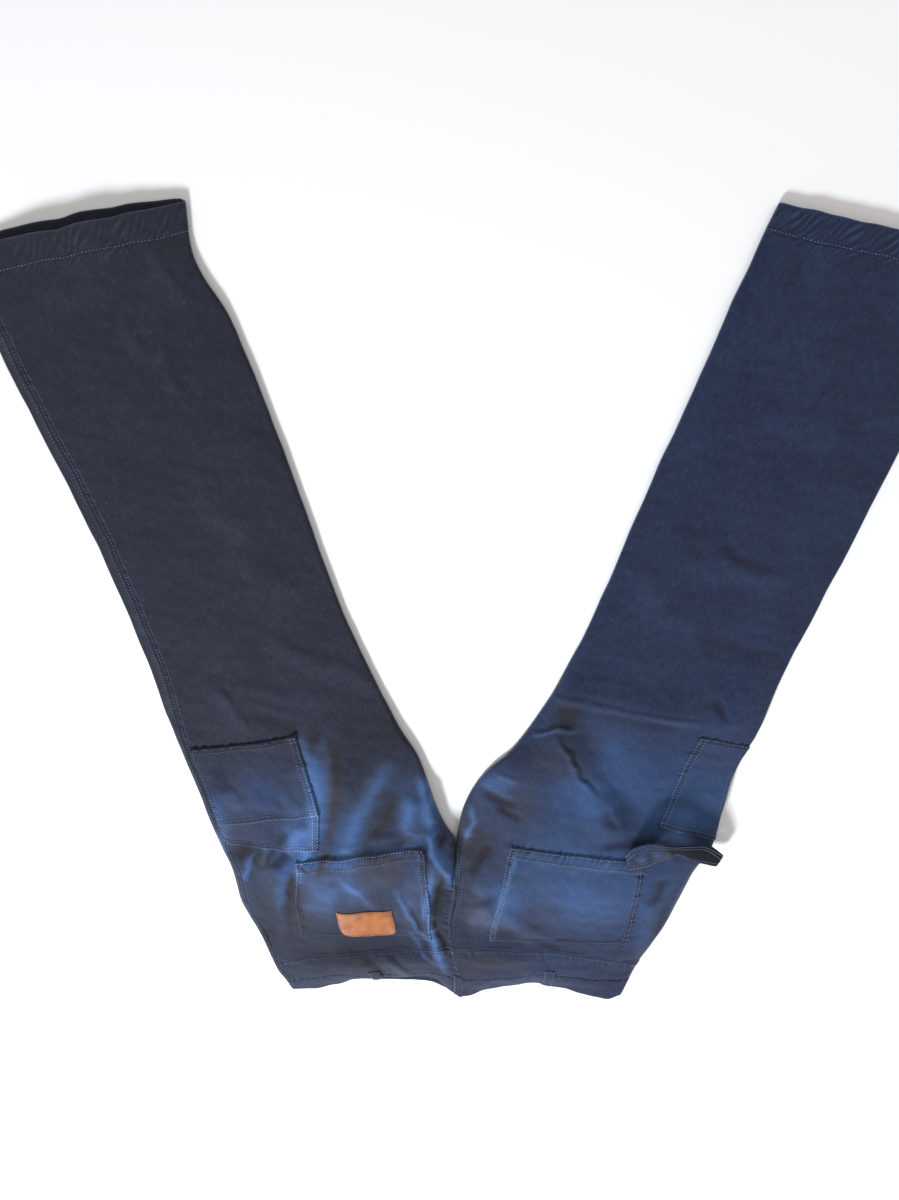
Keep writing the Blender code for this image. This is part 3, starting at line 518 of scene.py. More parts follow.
# Creases of the upper layer: start x y, end x y, then in millimetres the height (negative for a trough),
# the half width and the sideways bend
CREASES = [
    # Right seat and thigh
    (-0.209, -0.244, -0.122, -0.231, -0.6, 4, 3),
    (-0.122, -0.228, -0.048, -0.226, -0.5, 4, 3),
    (-0.228, -0.236, -0.205, -0.206, 2.4, 8, 0),
    (-0.259, -0.259, -0.250, -0.234, 2.4, 5, 0),
    (-0.287, -0.256, -0.278, -0.238, -1.6, 5, 0),
    (-0.242, -0.261, -0.225, -0.240, -2.0, 6, 0),
    (-0.300, -0.167, -0.281, -0.186, 1.6, 9, 0),
    (-0.230, -0.163, -0.208, -0.188, 1.2, 7, 0),
    (-0.269, -0.385, -0.225, -0.305, -1.6, 12, 0),
    # Right back pocket, yoke and centre seam
    (-0.173, -0.270, -0.148, -0.296, -1.6, 9, 0),
    (-0.110, -0.391, -0.081, -0.434, 2.2, 7, 0),
    (-0.134, -0.389, -0.102, -0.442, -1.8, 7, 0),
    # Left crotch and thigh
    (-0.009, -0.232, -0.019, -0.266, -1.2, 4, 0),
    (0.028, -0.145, 0.056, -0.154, 1.6, 4, 1),
    (0.010, -0.165, 0.053, -0.184, -2.2, 6, 2),
    (0.033, -0.188, 0.061, -0.200, -1.6, 5, 0),
    (0.160, -0.186, 0.174, -0.208, -1.4, 6, 0),
    (0.095, -0.045, 0.131, -0.053, 1.6, 5, 1),
    (0.131, -0.053, 0.272, -0.080, 1.8, 5, 3),
    (0.112, -0.086, 0.120, -0.056, -1.8, 10, 0),
    (0.152, -0.063, 0.249, -0.084, -1.2, 6, 0),
    (0.080, -0.364, 0.116, -0.381, -1.6, 7, 0),
    (0.036, -0.328, 0.088, -0.368, 1.6, 12, 0),
    (0.009, -0.316, 0.026, -0.345, 1.8, 10, 0),
    (0.224, -0.311, 0.222, -0.419, 1.4, 14, 0),
    (0.240, -0.282, 0.227, -0.319, -1.4, 8, 0),
    # Left leg
    (0.235, 0.139, 0.279, 0.111, -1.0, 9, 0),
    (0.279, 0.143, 0.303, 0.121, -1.8, 6, 0),
    (0.303, 0.121, 0.335, 0.111, -1.0, 8, 0),
    (0.289, -0.048, 0.304, -0.076, -1.8, 5, 0),
    (0.244, 0.122, 0.360, 0.093, 1.4, 14, 4),
    (0.192, 0.075, 0.264, 0.026, 0.8, 16, 0),
    (0.126, 0.022, 0.103, -0.035, 0.8, 12, 0),
    (0.329, 0.435, 0.321, 0.412, -1.2, 5, 0),
    (0.264, 0.026, 0.372, 0.000, -0.8, 12, 0),
    (0.161, 0.113, 0.213, 0.074, 0.8, 18, 0),
    (0.306, 0.276, 0.394, 0.254, 0.8, 18, 0),
    # Right leg
    (-0.330, 0.445, -0.299, 0.397, 1.2, 8, 3),
    (-0.367, 0.377, -0.341, 0.338, 1.0, 9, 4),
    (-0.330, 0.348, -0.316, 0.303, 1.2, 10, 5),
    (-0.311, 0.211, -0.250, 0.145, 0.9, 16, 6),
    (-0.274, 0.122, -0.198, 0.074, 0.8, 18, 0),
    (-0.235, 0.026, -0.155, -0.014, 1.1, 12, 5),
    (-0.304, -0.036, -0.265, -0.093, 1.3, 8, 0),
    (-0.264, -0.063, -0.206, -0.084, -1.3, 9, 0),
    (-0.257, -0.036, -0.168, -0.048, 1.0, 10, 4),
    (-0.166, 0.001, -0.115, -0.036, 1.0, 9, 0),
    (-0.380, 0.433, -0.366, 0.448, 1.0, 7, 0),
    (-0.426, 0.397, -0.374, 0.406, 0.8, 12, 0),
]

# Soft places of the wash, with painted light and shade: x y, half width along x and along y in metres, then
# what each adds to the fade, to the blue and to the brown, from 0 to 1. Added fade and blue paint worn cloth
# and the cool key light on slopes that face it; negative fade and brown paint shade on slopes turned away.
WASH_AND_LIGHT = [
    # Right thigh
    (-0.191, -0.108, 0.010, 0.026, -0.20, -0.45, 0.10),
    (-0.246, -0.141, 0.036, 0.036, 0.00, 0.25, 0.00),
    (-0.190, -0.146, 0.016, 0.050, 0.34, 0.80, 0.00),
    (-0.173, -0.154, 0.010, 0.040, 0.20, 0.45, 0.00),
    (-0.307, -0.161, 0.010, 0.020, -0.10, 0.00, 0.00),
    (-0.308, -0.167, 0.010, 0.040, -0.06, 0.30, 0.00),
    (-0.277, -0.172, 0.040, 0.030, 0.05, 0.30, 0.00),
    (-0.086, -0.174, 0.022, 0.036, 0.10, 0.45, 0.00),
    (-0.245, -0.175, 0.036, 0.030, 0.02, 0.25, 0.00),
    (-0.150, -0.175, 0.070, 0.060, 0.02, 0.04, 0.10),
    (-0.057, -0.178, 0.018, 0.034, 0.14, 0.45, 0.00),
    (-0.222, -0.180, 0.040, 0.040, 0.02, 0.14, 0.00),
    (-0.172, -0.200, 0.030, 0.030, 0.08, 0.40, 0.00),
    (-0.048, -0.208, 0.014, 0.024, 0.06, 0.60, 0.00),
    (-0.309, -0.215, 0.008, 0.040, 0.25, 0.40, 0.00),
    (-0.203, -0.216, 0.018, 0.028, 0.16, 0.45, 0.00),
    (-0.216, -0.222, 0.014, 0.020, 0.40, 0.60, 0.00),
    (-0.154, -0.222, 0.014, 0.030, 0.08, 0.15, 0.00),
    (-0.228, -0.229, 0.012, 0.010, -0.20, -0.10, 0.20),
    (-0.158, -0.229, 0.014, 0.026, 0.10, 0.30, 0.00),
    # Right seat and pocket
    (-0.082, -0.233, 0.036, 0.008, 0.16, 0.10, 0.00),
    (-0.094, -0.236, 0.030, 0.008, 0.14, 0.35, 0.00),
    (-0.228, -0.240, 0.024, 0.016, 0.04, 0.50, 0.00),
    (-0.161, -0.243, 0.026, 0.008, 0.18, 0.25, 0.00),
    (-0.277, -0.250, 0.026, 0.010, -0.26, -0.10, 0.50),
    (-0.098, -0.252, 0.040, 0.010, 0.02, -0.10, 0.55),
    (-0.201, -0.253, 0.014, 0.010, 0.18, 0.40, -0.10),
    (-0.067, -0.253, 0.012, 0.020, -0.02, 0.45, 0.00),
    (-0.235, -0.258, 0.014, 0.014, 0.00, 0.50, 0.00),
    (-0.150, -0.258, 0.012, 0.016, 0.16, 0.35, 0.00),
    (-0.233, -0.259, 0.010, 0.012, 0.02, 0.40, -0.30),
    (-0.279, -0.265, 0.016, 0.026, -0.12, 0.25, 0.00),
    (-0.107, -0.268, 0.030, 0.014, 0.08, -0.10, 0.30),
    (-0.225, -0.286, 0.010, 0.016, -0.16, -0.10, 0.15),
    (-0.157, -0.286, 0.026, 0.014, 0.26, 0.45, -0.10),
    (-0.186, -0.295, 0.030, 0.030, 0.22, 0.35, 0.00),
    (-0.076, -0.305, 0.020, 0.028, 0.22, 0.25, 0.05),
    (-0.262, -0.310, 0.012, 0.022, -0.10, -0.10, 0.20),
    (-0.120, -0.310, 0.080, 0.034, -0.05, -0.02, 0.05),
    (-0.214, -0.316, 0.012, 0.030, -0.20, -0.35, 0.15),
    # Right yoke and waist
    (-0.160, -0.350, 0.060, 0.020, -0.06, -0.06, 0.06),
    (-0.179, -0.368, 0.040, 0.014, -0.06, -0.10, 0.10),
    (-0.064, -0.368, 0.010, 0.026, 0.00, 0.40, -0.20),
    (-0.240, -0.375, 0.030, 0.020, -0.08, -0.10, 0.10),
    (-0.140, -0.395, 0.060, 0.025, -0.05, 0.05, 0.25),
    (-0.180, -0.399, 0.060, 0.024, -0.22, -0.15, 0.10),
    (-0.161, -0.402, 0.070, 0.020, -0.20, 0.00, 0.05),
    # Centre seam
    (-0.033, -0.243, 0.012, 0.014, 0.24, 0.40, 0.00),
    (-0.026, -0.261, 0.006, 0.016, 0.35, 0.50, 0.00),
    # Left thigh
    (0.309, -0.050, 0.030, 0.050, 0.02, 0.25, 0.00),
    (0.114, -0.070, 0.014, 0.020, -0.10, -0.30, 0.40),
    (0.139, -0.114, 0.030, 0.040, 0.00, -0.20, 0.00),
    (0.165, -0.115, 0.040, 0.030, 0.08, 0.30, 0.00),
    (0.062, -0.120, 0.026, 0.020, -0.10, 0.00, 0.15),
    (0.103, -0.121, 0.034, 0.026, -0.04, -0.35, 0.10),
    (0.028, -0.160, 0.020, 0.012, 0.30, 0.50, 0.00),
    (0.204, -0.160, 0.040, 0.040, 0.08, 0.35, 0.00),
    (0.165, -0.163, 0.020, 0.040, 0.12, 0.20, 0.00),
    (0.153, -0.167, 0.024, 0.024, 0.12, 0.20, 0.00),
    (0.267, -0.167, 0.040, 0.050, 0.06, 0.40, 0.00),
    (0.119, -0.175, 0.034, 0.034, 0.14, 0.35, 0.00),
    (0.055, -0.180, 0.030, 0.026, 0.02, -0.10, 0.45),
    (0.245, -0.195, 0.036, 0.020, 0.14, 0.40, 0.00),
    (0.239, -0.197, 0.030, 0.010, 0.12, 0.20, 0.00),
    (0.269, -0.205, 0.030, 0.020, 0.16, 0.40, 0.00),
    # Left seat and pocket
    (0.108, -0.229, 0.040, 0.020, 0.14, 0.10, 0.00),
    (0.156, -0.238, 0.036, 0.012, 0.18, 0.25, 0.00),
    (0.008, -0.240, 0.030, 0.026, -0.10, -0.30, 0.45),
    (0.158, -0.253, 0.030, 0.014, 0.16, 0.10, 0.00),
    (0.109, -0.285, 0.050, 0.030, 0.08, 0.25, 0.00),
    (0.223, -0.295, 0.034, 0.050, 0.00, 0.50, 0.00),
    (0.040, -0.306, 0.018, 0.020, 0.20, 0.45, 0.00),
    (0.092, -0.308, 0.040, 0.020, 0.00, -0.20, 0.05),
    (0.160, -0.310, 0.050, 0.034, 0.16, 0.35, 0.00),
    (0.011, -0.316, 0.022, 0.030, -0.08, -0.20, 0.10),
    (0.016, -0.335, 0.026, 0.034, 0.20, 0.05, 0.25),
    # Left yoke and waist
    (0.047, -0.356, 0.030, 0.014, -0.12, -0.20, 0.15),
    (0.183, -0.368, 0.050, 0.024, 0.05, 0.25, 0.00),
    (0.025, -0.405, 0.034, 0.022, -0.10, -0.20, 0.50),
    (0.120, -0.412, 0.060, 0.020, 0.05, 0.30, 0.05),
    (0.172, -0.456, 0.050, 0.014, -0.10, 0.35, 0.00),
]

# Folds with painted light on their lit side and painted shade on the other: name, half width in millimetres,
# what they add to the fade, the blue and the brown, their height in millimetres, and the places x y along
# them
STREAKS = [
    ("side light", 3.4, 0.28, 0.50, 0.00, 1.6,
     [(-0.267, -0.242), (-0.276, -0.259), (-0.283, -0.283)]),
    ("pocket side light", 6.0, 0.12, 0.45, 0.00, 1.4,
     [(-0.222, -0.251), (-0.231, -0.276), (-0.237, -0.307), (-0.241, -0.350)]),
    ("pocket side shade", 3.4, -0.14, -0.10, 0.35, -1.4,
     [(-0.219, -0.264), (-0.224, -0.305), (-0.228, -0.356)]),
    ("first ridge", 4.0, 0.50, 0.60, 0.00, 3.4,
     [(-0.043, -0.217), (-0.050, -0.226), (-0.047, -0.241), (-0.038, -0.257), (-0.027, -0.278),
      (-0.026, -0.293)]),
    ("seam ridge", 5.5, 0.44, 0.60, 0.00, 2.8,
     [(-0.042, -0.250), (-0.050, -0.272), (-0.053, -0.295), (-0.055, -0.311), (-0.051, -0.336),
      (-0.045, -0.377), (-0.036, -0.412), (-0.030, -0.431)]),
    ("seam valley", 4.4, -0.16, -0.20, 0.45, -3.0,
     [(-0.033, -0.270), (-0.039, -0.292), (-0.041, -0.310), (-0.046, -0.335), (-0.040, -0.358),
      (-0.027, -0.392)]),
    ("pocket shadow", 3.0, -0.14, -0.10, 0.10, -1.2,
     [(-0.051, -0.264), (-0.057, -0.287)]),
    ("crotch hole", 4.0, -0.20, -0.20, 0.30, -2.5,
     [(-0.038, -0.239), (-0.035, -0.231)]),
    ("pocket crest", 3.0, 0.22, 0.35, 0.00, 1.2,
     [(-0.092, -0.293), (-0.079, -0.323), (-0.063, -0.348), (-0.054, -0.367)]),
    ("pocket crest shade", 2.4, -0.14, 0.00, 0.20, -1.0,
     [(-0.074, -0.315), (-0.066, -0.335), (-0.060, -0.350)]),
    ("below pocket crest", 2.4, 0.16, 0.20, 0.00, 0.8,
     [(-0.073, -0.355), (-0.059, -0.394), (-0.044, -0.409)]),
    ("crotch edge left", 2.6, 0.30, 0.45, 0.00, 1.4,
     [(-0.001, -0.191), (0.003, -0.210), (-0.007, -0.235)]),
    ("crotch patch left", 5.0, 0.16, 0.45, 0.00, 0.8,
     [(-0.005, -0.222), (-0.003, -0.231)]),
    ("crotch shade left", 5.0, -0.14, -0.20, 0.25, -1.6,
     [(0.023, -0.240), (0.012, -0.256), (0.002, -0.271)]),
    ("seat light left", 6.0, 0.14, 0.10, 0.00, 0.8,
     [(0.004, -0.291), (0.017, -0.300)]),
    ("seat shade left", 5.0, -0.10, 0.25, 0.00, -1.0,
     [(0.030, -0.304), (0.010, -0.317)]),
    ("seat pale left", 7.0, 0.12, 0.00, 0.10, 0.6,
     [(-0.001, -0.337), (0.009, -0.342)]),
    ("thigh light edge", 1.6, 0.16, 0.20, 0.00, 0.4,
     [(-0.078, -0.221), (-0.058, -0.220)]),
    ("tool pocket inner light", 4.0, 0.30, 0.50, 0.00, 1.6,
     [(-0.198, -0.235), (-0.206, -0.244), (-0.214, -0.250)]),
    ("pocket corner dark", 2.4, -0.16, 0.00, 0.20, -1.0,
     [(-0.213, -0.250), (-0.206, -0.257), (-0.199, -0.263)]),
    ("pocket blue rim", 5.0, 0.22, 0.45, 0.00, 0.6,
     [(-0.213, -0.258), (-0.210, -0.274)]),
    ("pocket brown", 3.4, -0.10, -0.30, 0.55, -0.6,
     [(-0.177, -0.236), (-0.183, -0.253), (-0.189, -0.266)]),
    ("pocket diagonal", 4.0, 0.14, 0.20, 0.10, 1.0,
     [(-0.153, -0.274), (-0.137, -0.290), (-0.122, -0.309)]),
    ("thigh blue strip", 8.0, 0.26, 0.45, 0.00, 1.6,
     [(-0.208, -0.091), (-0.194, -0.127), (-0.187, -0.167), (-0.189, -0.204), (-0.204, -0.238)]),
    ("thigh brown strip", 6.0, -0.08, -0.30, 0.55, -1.4,
     [(-0.165, -0.111), (-0.165, -0.173), (-0.172, -0.222)]),
    ("thigh second blue", 9.0, 0.26, 0.50, 0.00, 1.6,
     [(-0.101, -0.132), (-0.121, -0.165), (-0.139, -0.198), (-0.153, -0.243)]),
    ("thigh second brown", 6.0, -0.06, -0.30, 0.50, -1.4,
     [(-0.090, -0.170), (-0.102, -0.195), (-0.116, -0.218)]),
    ("thigh third blue", 7.0, 0.24, 0.45, 0.00, 1.2,
     [(-0.075, -0.176), (-0.078, -0.196), (-0.082, -0.218)]),
    ("inner thigh blue", 6.0, 0.34, 0.55, 0.00, 1.8,
     [(-0.062, -0.152), (-0.054, -0.178), (-0.050, -0.210)]),
    ("left fold light", 3.4, 0.08, 0.05, 0.00, 1.6,
     [(0.101, -0.099), (0.115, -0.118), (0.126, -0.142), (0.145, -0.163)]),
    ("left fold dark", 3.0, -0.16, -0.10, 0.10, -1.8,
     [(0.107, -0.098), (0.121, -0.117), (0.132, -0.143), (0.150, -0.160)]),
    ("left cross light", 2.4, 0.20, 0.25, 0.00, 1.2,
     [(0.077, -0.095), (0.105, -0.086), (0.123, -0.091)]),
    ("left cross dark", 2.4, -0.14, 0.00, 0.10, -1.0,
     [(0.079, -0.089), (0.100, -0.082)]),
    ("strap shade", 5.0, -0.16, 0.10, 0.00, 0.0,
     [(0.144, -0.233), (0.181, -0.230), (0.218, -0.228), (0.271, -0.240)]),
    ("pocket left rim", 2.2, 0.24, 0.45, 0.00, 0.4,
     [(0.054, -0.245), (0.045, -0.278), (0.033, -0.329), (0.028, -0.363)]),
]

# The fade and blue of the legs and the seat. The two legs' fades differ by painted light, and the seat is
# paler and bluer with painted cool light. One half's wash passes into the other's round an x, and each
# starts to turn paler at its own y, towards the waist.
RIGHT_LEG_FADE_AND_LIGHT, LEFT_LEG_FADE_AND_LIGHT, SEAT_PAINTED_LIGHT = 0.015, 0.045, 0.17
RIGHT_BLUE, LEFT_BLUE, SEAT_BLUE = 0.08, 0.68, 0.35
HALVES_MEET, HALVES_SPAN = 0.02, 0.04
RIGHT_SEAT_START, LEFT_SEAT_START, SEAT_SPAN = -0.09, -0.02, 0.18

# How much darker the cloth is at the waist, and the y where that starts and the distance over which it grows
WAIST_SHADE, WAIST_SHADE_START, WAIST_SHADE_SPAN = 0.17, -0.275, 0.10

# A streak is made longer at both ends by a share of its end pieces, tapers over a share of its length, and
# its painted light and shade are stronger and wider than its row says
STREAK_TIP, STREAK_TAPER = 0.3, 0.3
STREAK_STRENGTH, STREAK_PAINT_WIDTH, STREAK_REACH = 1.35, 1.15, 4.0

# What each millimetre of a crease and a pucker adds to the fade, wear on the ridges and painted shade in the
# hollows, on the legs and more on the seat, with the least and the most; how brown the troughs get with
# painted shade, and how deep they are then; and the most brown anywhere
CREASE_WEAR_AND_SHADE, SEAT_CREASE_WEAR_AND_SHADE, CREASE_WEAR_AND_SHADE_LIMITS = 0.04, 0.06, (-0.16, 0.30)
PUCKER_WEAR_AND_SHADE, PUCKER_WEAR_AND_SHADE_LIMITS = 0.24, (-0.14, 0.22)
TROUGH_SHADE_BROWN, TROUGH_DEPTH, MOST_BROWN = 0.35, 0.002, 0.8

# Cloth below this height is the hidden under layer, which has one plain wash
UNDER_TOP = 0.004

# Puckers along seams: half, panel, row numbers and column numbers of the seam, then in millimetres the wave
# length, the height and the reach to either side, and the slant
PUCKERS = [
    ("right", "back", (0, 0), (0, 13), 8.0, 0.45, 7.0, 0.3),
    ("left", "back", (0, 0), (0, 15), 8.0, 0.45, 7.0, -0.3),
    ("right", "back", (10, 10), (3, 11), 8.0, 0.45, 7.0, 0.5),
    ("right", "back", (2, 10), (3, 3), 7.0, 0.45, 6.0, 0.3),
    ("right", "back", (2, 10), (11, 11), 7.0, 0.50, 6.0, 0.3),
    ("left", "back", (10, 10), (5, 13), 8.5, 0.60, 8.0, 0.5),
    ("left", "back", (2, 10), (5, 5), 6.5, 0.60, 8.0, 0.2),
    ("left", "back", (2, 10), (13, 13), 7.0, 0.45, 6.0, 0.3),
    ("right", "back", (11, 19), (6, 6), 6.5, 0.40, 5.5, 0.3),
    ("right", "back", (19, 19), (0, 6), 8.0, 0.45, 6.0, 0.8),
    ("left", "back", (13, 19), (5, 5), 6.0, 0.45, 5.5, -0.3),
    ("left", "back", (19, 19), (1, 5), 8.0, 0.40, 5.0, 0.8),
    ("right", "back", (0, 36), (0, 0), 8.5, 0.45, 5.0, 0.7),
    ("right", "back", (36, 36), (0, 13), 8.5, 0.50, 7.0, 1.2),
    ("left", "back", (35, 35), (0, 15), 8.5, 0.50, 7.0, 1.2),
    ("right", "back", (37.5, 37.5), (0, 13), 9.5, 0.45, 9.0, 0.8),
    ("left", "back", (36.5, 36.5), (0, 15), 9.0, 0.70, 9.0, 0.8),
    ("right", "yoke", (0, 0), (0, 13), 8.0, 0.35, 6.0, 0.3),
    ("left", "yoke", (0, 0), (0, 15), 8.0, 0.35, 6.0, 0.3),
    ("right", "yoke", (0, 2), (13, 13), 9.0, 0.35, 5.0, 0.4),
    ("right", "back", (0, 10), (13, 13), 8.0, 0.60, 7.0, 0.4),
]


def crease_height(x, y):
    """Ridges and troughs, each with a narrow dip along its side away from the seat."""
    total = np.zeros_like(x)
    for x0, y0, x1, y1, height, half_width, bend in CREASES:
        long = math.hypot(x1 - x0, y1 - y0)
        dx, dy = (x1 - x0) / long, (y1 - y0) / long
        wide = half_width * MM
        towards_dip = 1.0 if DIP_DIRECTION[0] * dy - DIP_DIRECTION[1] * dx > 0 else -1.0
        s = ((x - x0) * dx + (y - y0) * dy) / long
        off = (x - x0) * dy - (y - y0) * dx - bend * MM * np.sin(np.pi * np.clip(s, 0, 1))
        past_dip = (off - DIP_PLACE * wide * towards_dip) / (DIP_WIDTH * wide)
        start, end = s + CREASE_OVERRUN, 1.0 + CREASE_OVERRUN - s
        ends = ease(start / CREASE_TAPER) * ease(end / CREASE_TAPER)
        body = np.exp(-((off / wide) ** 2)) - DIP_DEPTH * np.exp(-(past_dip**2))
        total += height * MM * ends * body
    return total


def streak_share(x, y, points, half_width):
    """1 on a line through the points, falling softly to 0 beside it and towards its ends."""
    points = np.array(points)
    first, last = points[0] - points[1], points[-1] - points[-2]
    longer = [points[0] + STREAK_TIP * first, *points[1:-1], points[-1] + STREAK_TIP * last]
    track = Track(longer)
    s, d = track.near(x, y)
    share = s / track.starts[-1]
    ends = np.sqrt(ease(share / STREAK_TAPER) * ease((1.0 - share) / STREAK_TAPER))
    wobble = ripples(x, y, *STREAK_WAVES)
    return ends * np.exp(-(((d + wobble) / (half_width * MM)) ** 2))


def streak_height(x, y):
    """What the streaks' folds add to the upper layer's height."""
    total = np.zeros_like(x)
    for _, half_width, _, _, _, height, points in STREAKS:
        near = close_to(x, y, points, STREAK_REACH * half_width * MM)
        total[near] += height * MM * streak_share(x[near], y[near], points, half_width)
    return total


def close_to(x, y, points, reach):
    """Whether each place is within reach of the box round some points."""
    low, high = np.min(points, axis=0)[:2] - reach, np.max(points, axis=0)[:2] + reach
    return (x > low[0]) & (x < high[0]) & (y > low[1]) & (y < high[1])


def ripples(x, y, seed, count, longest, shortest, height):
    """Uneven soft waves of cloth, a sum of sines with seeded directions and lengths."""
    random = np.random.default_rng(seed)
    total = np.zeros_like(x)
    for _ in range(count):
        angle = random.uniform(0, np.pi)
        wave = shortest * (longest / shortest) ** random.uniform()
        phase = random.uniform(0, 2 * np.pi)
        turn = 2 * np.pi * (x * np.cos(angle) + y * np.sin(angle)) / wave
        total += wave / longest * np.sin(turn + phase)
    return height * total / math.sqrt(count)


class Track:
    """A line in plan, for seams: distance along it and signed distance from it."""

    def __init__(self, points):
        self.points = np.asarray(points, float)[:, :2]
        steps = np.hypot(*np.diff(self.points, axis=0).T)
        self.starts = np.concatenate([[0.0], np.cumsum(steps)])

    def near(self, x, y):
        """(distance along, signed distance) of the nearest spot on the line."""
        best = np.full(x.shape, 1e9)
        found_s, found_d = np.zeros_like(x), np.full(x.shape, 1e9)
        for (x0, y0), (x1, y1), start in zip(self.points, self.points[1:], self.starts):
            t, away = along_segment(x, y, x0, y0, x1, y1)
            long = math.hypot(x1 - x0, y1 - y0)
            side = np.sign((x - x0) * (y1 - y0) - (y - y0) * (x1 - x0))
            closer = away < best
            best = np.where(closer, away, best)
            found_s = np.where(closer, start + t * long, found_s)
            found_d = np.where(closer, away * side, found_d)
        return found_s, found_d


TRACK_SPOTS = 60


def grid_track(side, name, rows, columns):
    """The line on a panel through fractional row and column numbers, evenly read."""
    panel = PANELS[side][name]
    share = np.linspace(0.0, len(rows) - 1.0, TRACK_SPOTS)
    numbers = np.arange(len(rows))
    u, p = panel.spot(np.interp(share, numbers, rows), np.interp(share, numbers, columns))
    return Track(panel.half.point(u, p))


def pucker_tracks():
    made = []
    for side, name, rows, columns, wave, height, reach, slant in PUCKERS:
        track = grid_track(side, name, rows, columns)
        made.append((track, wave * MM, height * MM, reach * MM, slant))
    return made


PUCKER_TRACKS = pucker_tracks()

# How unevenly the puckers rise and follow each other, as shares and wave lengths counted in puckers, and
# how many reaches away they still count
PUCKER_RISES = ((0.4, 5.3), (0.3, 2.3))
PUCKER_REACHES = 3
PUCKER_STEADY = 0.6
PUCKER_WARP, PUCKER_WARP_LENGTH = 0.25, 3.7


def wave_along(s, length):
    return np.sin(2 * np.pi * s / length)


def pucker_height(x, y):
    """What the puckers along the seams add to the upper layer's height."""
    total = np.zeros_like(x)
    for track, wave, height, reach, slant in PUCKER_TRACKS:
        close = close_to(x, y, track.points, PUCKER_REACHES * reach)
        if not close.any():
            continue
        s, d = track.near(x[close], y[close])
        uneven = PUCKER_STEADY + sum(share * wave_along(s, length * wave) for share, length in PUCKER_RISES)
        warp = s + PUCKER_WARP * wave * wave_along(s, PUCKER_WARP_LENGTH * wave) + slant * d
        total[close] += height * uneven * wave_along(warp, wave) * np.exp(-((d / reach) ** 2))
    return total


def wander(x, y):
    """How far the cloth strays in plan from where it would lie if it were smooth."""
    return [ripples(x, y, *waves) for waves in WANDER_WAVES]


def upper_relief(x, y):
    """Everything that the creases, waves and puckers add to the upper layer's height."""
    waves = sum(ripples(x, y, *row) for row in UPPER_WAVES)
    return crease_height(x, y) + streak_height(x, y) + waves + pucker_height(x, y)


def under_relief(x, y):
    """The under layer's own creases, which only rise, so that it still rests flat."""
    waves = sum(ripples(x, y, *row) for row in UNDER_WAVES)
    return np.maximum(waves - UNDER_WAVES_START, 0.0)


# How far in from the outer and the inner edge, as places across, the relief is still growing
OUTER_CALM, INNER_CALM = 1.5 * EDGE, 1.2 * EDGE


def relief_weight(u, p):
    """How much of the relief a place takes: all of it but at the rolled edges."""
    q = np.abs(p)
    leg = ease((u - LEG_START) / LEG_SPAN)
    outer = ease(q / OUTER_CALM)
    inner = 1 - leg * (1 - ease((1 - q) / INNER_CALM))
    return outer * inner


def fine_point(half, u, p):
    """A place on the tube with its creases. The under layer stays flat at the waist."""
    u, p = np.broadcast_arrays(np.asarray(u, float), np.asarray(p, float))
    points = half.point(u, p)
    shift_x, shift_y = wander(points[..., 0], points[..., 1])
    inside = WANDER_AT_EDGE + (1.0 - WANDER_AT_EDGE) * np.sin(np.pi * np.abs(p))
    points[..., 0] += inside * shift_x
    points[..., 1] += inside * shift_y
    x, y = points[..., 0], points[..., 1]
    under = under_relief(x, y) * (p < 0) * ease((u - BAND_SEAM) / WAIST_FADE)
    points[..., 2] += np.where(p > 0, upper_relief(x, y), under) * relief_weight(u, p)
    return points


class Surface:
    """A fine grid on the cloth's middle surface, with its outward directions and the lengths along it."""

    def __init__(self, points, facing=1, column=None):
        self.points = points
        normals = np.cross(np.gradient(points, axis=0), np.gradient(points, axis=1))
        normals /= np.linalg.norm(normals, axis=-1, keepdims=True)
        seen = normals[..., 2] if column is None else normals[:, column, 2]
        self.normals = normals if np.mean(seen) * facing > 0 else -normals
        down = np.linalg.norm(np.diff(points, axis=0), axis=-1)
        across = np.linalg.norm(np.diff(points, axis=1), axis=-1)
        rows, columns = points.shape[:2]
        self.down = np.concatenate([np.zeros((1, columns)), np.cumsum(down, axis=0)])
        self.across = np.concatenate([np.zeros((rows, 1)), np.cumsum(across, axis=1)], axis=1)

    def from_side(self, side):
        """Each place's distance from the first or last row, or the first or last column."""
        if side == "first row":
            return self.down
        if side == "first column":
            return self.across
        if side == "last row":
            return self.down[-1:] - self.down
        return self.across[:, -1:] - self.across

    def edge_distance(self):
        sides = ("first row", "last row", "first column", "last column")
        return np.minimum.reduce([self.from_side(side) for side in sides])


def fine_places(lengths, step):
    """Fractional numbers between 0 and the count of intervals, a step apart and closer at both ends."""
    at = [0.0]
    for k, length in enumerate(lengths):
        parts = max(1, math.ceil(length / step))
        at += [k + (j + 1) / parts for j in range(parts)]
    at += [sample / lengths[0] for sample in EDGE_SAMPLES]
    at += [len(lengths) - sample / lengths[-1] for sample in EDGE_SAMPLES]
    return np.unique(np.round(np.array(at), 6))


def surface_of(panel, step, facing):
    """A panel's fine surface, and the row number of each of its rows."""
    coarse = panel.half.point(panel.numbers, panel.places)
    down = np.median(np.linalg.norm(np.diff(coarse, axis=0), axis=-1), axis=1)
    across = np.median(np.linalg.norm(np.diff(coarse, axis=1), axis=-1), axis=0)
    rows = fine_places(down, step)[:, None]
    columns = fine_places(across, step)[None, :]
    u, p = panel.spot(rows, columns)
    points = fine_point(panel.half, u, p)
    if facing < 0 and panel.half is RIGHT:
        slip = HEM_SLIP * np.sqrt(np.sin(np.pi * np.clip(-p, 0.0, 1.0)))
        slip = slip * np.clip(rows - (len(panel.numbers) - 1 - HEM_SLIP_ROWS), 0.0, 1.0)
        points[..., 0] -= HEM_SLIP_ASIDE * slip
        points[..., 1] += slip
    return Surface(points, facing), rows


COLUMN_SIDES = ("first column", "last column")


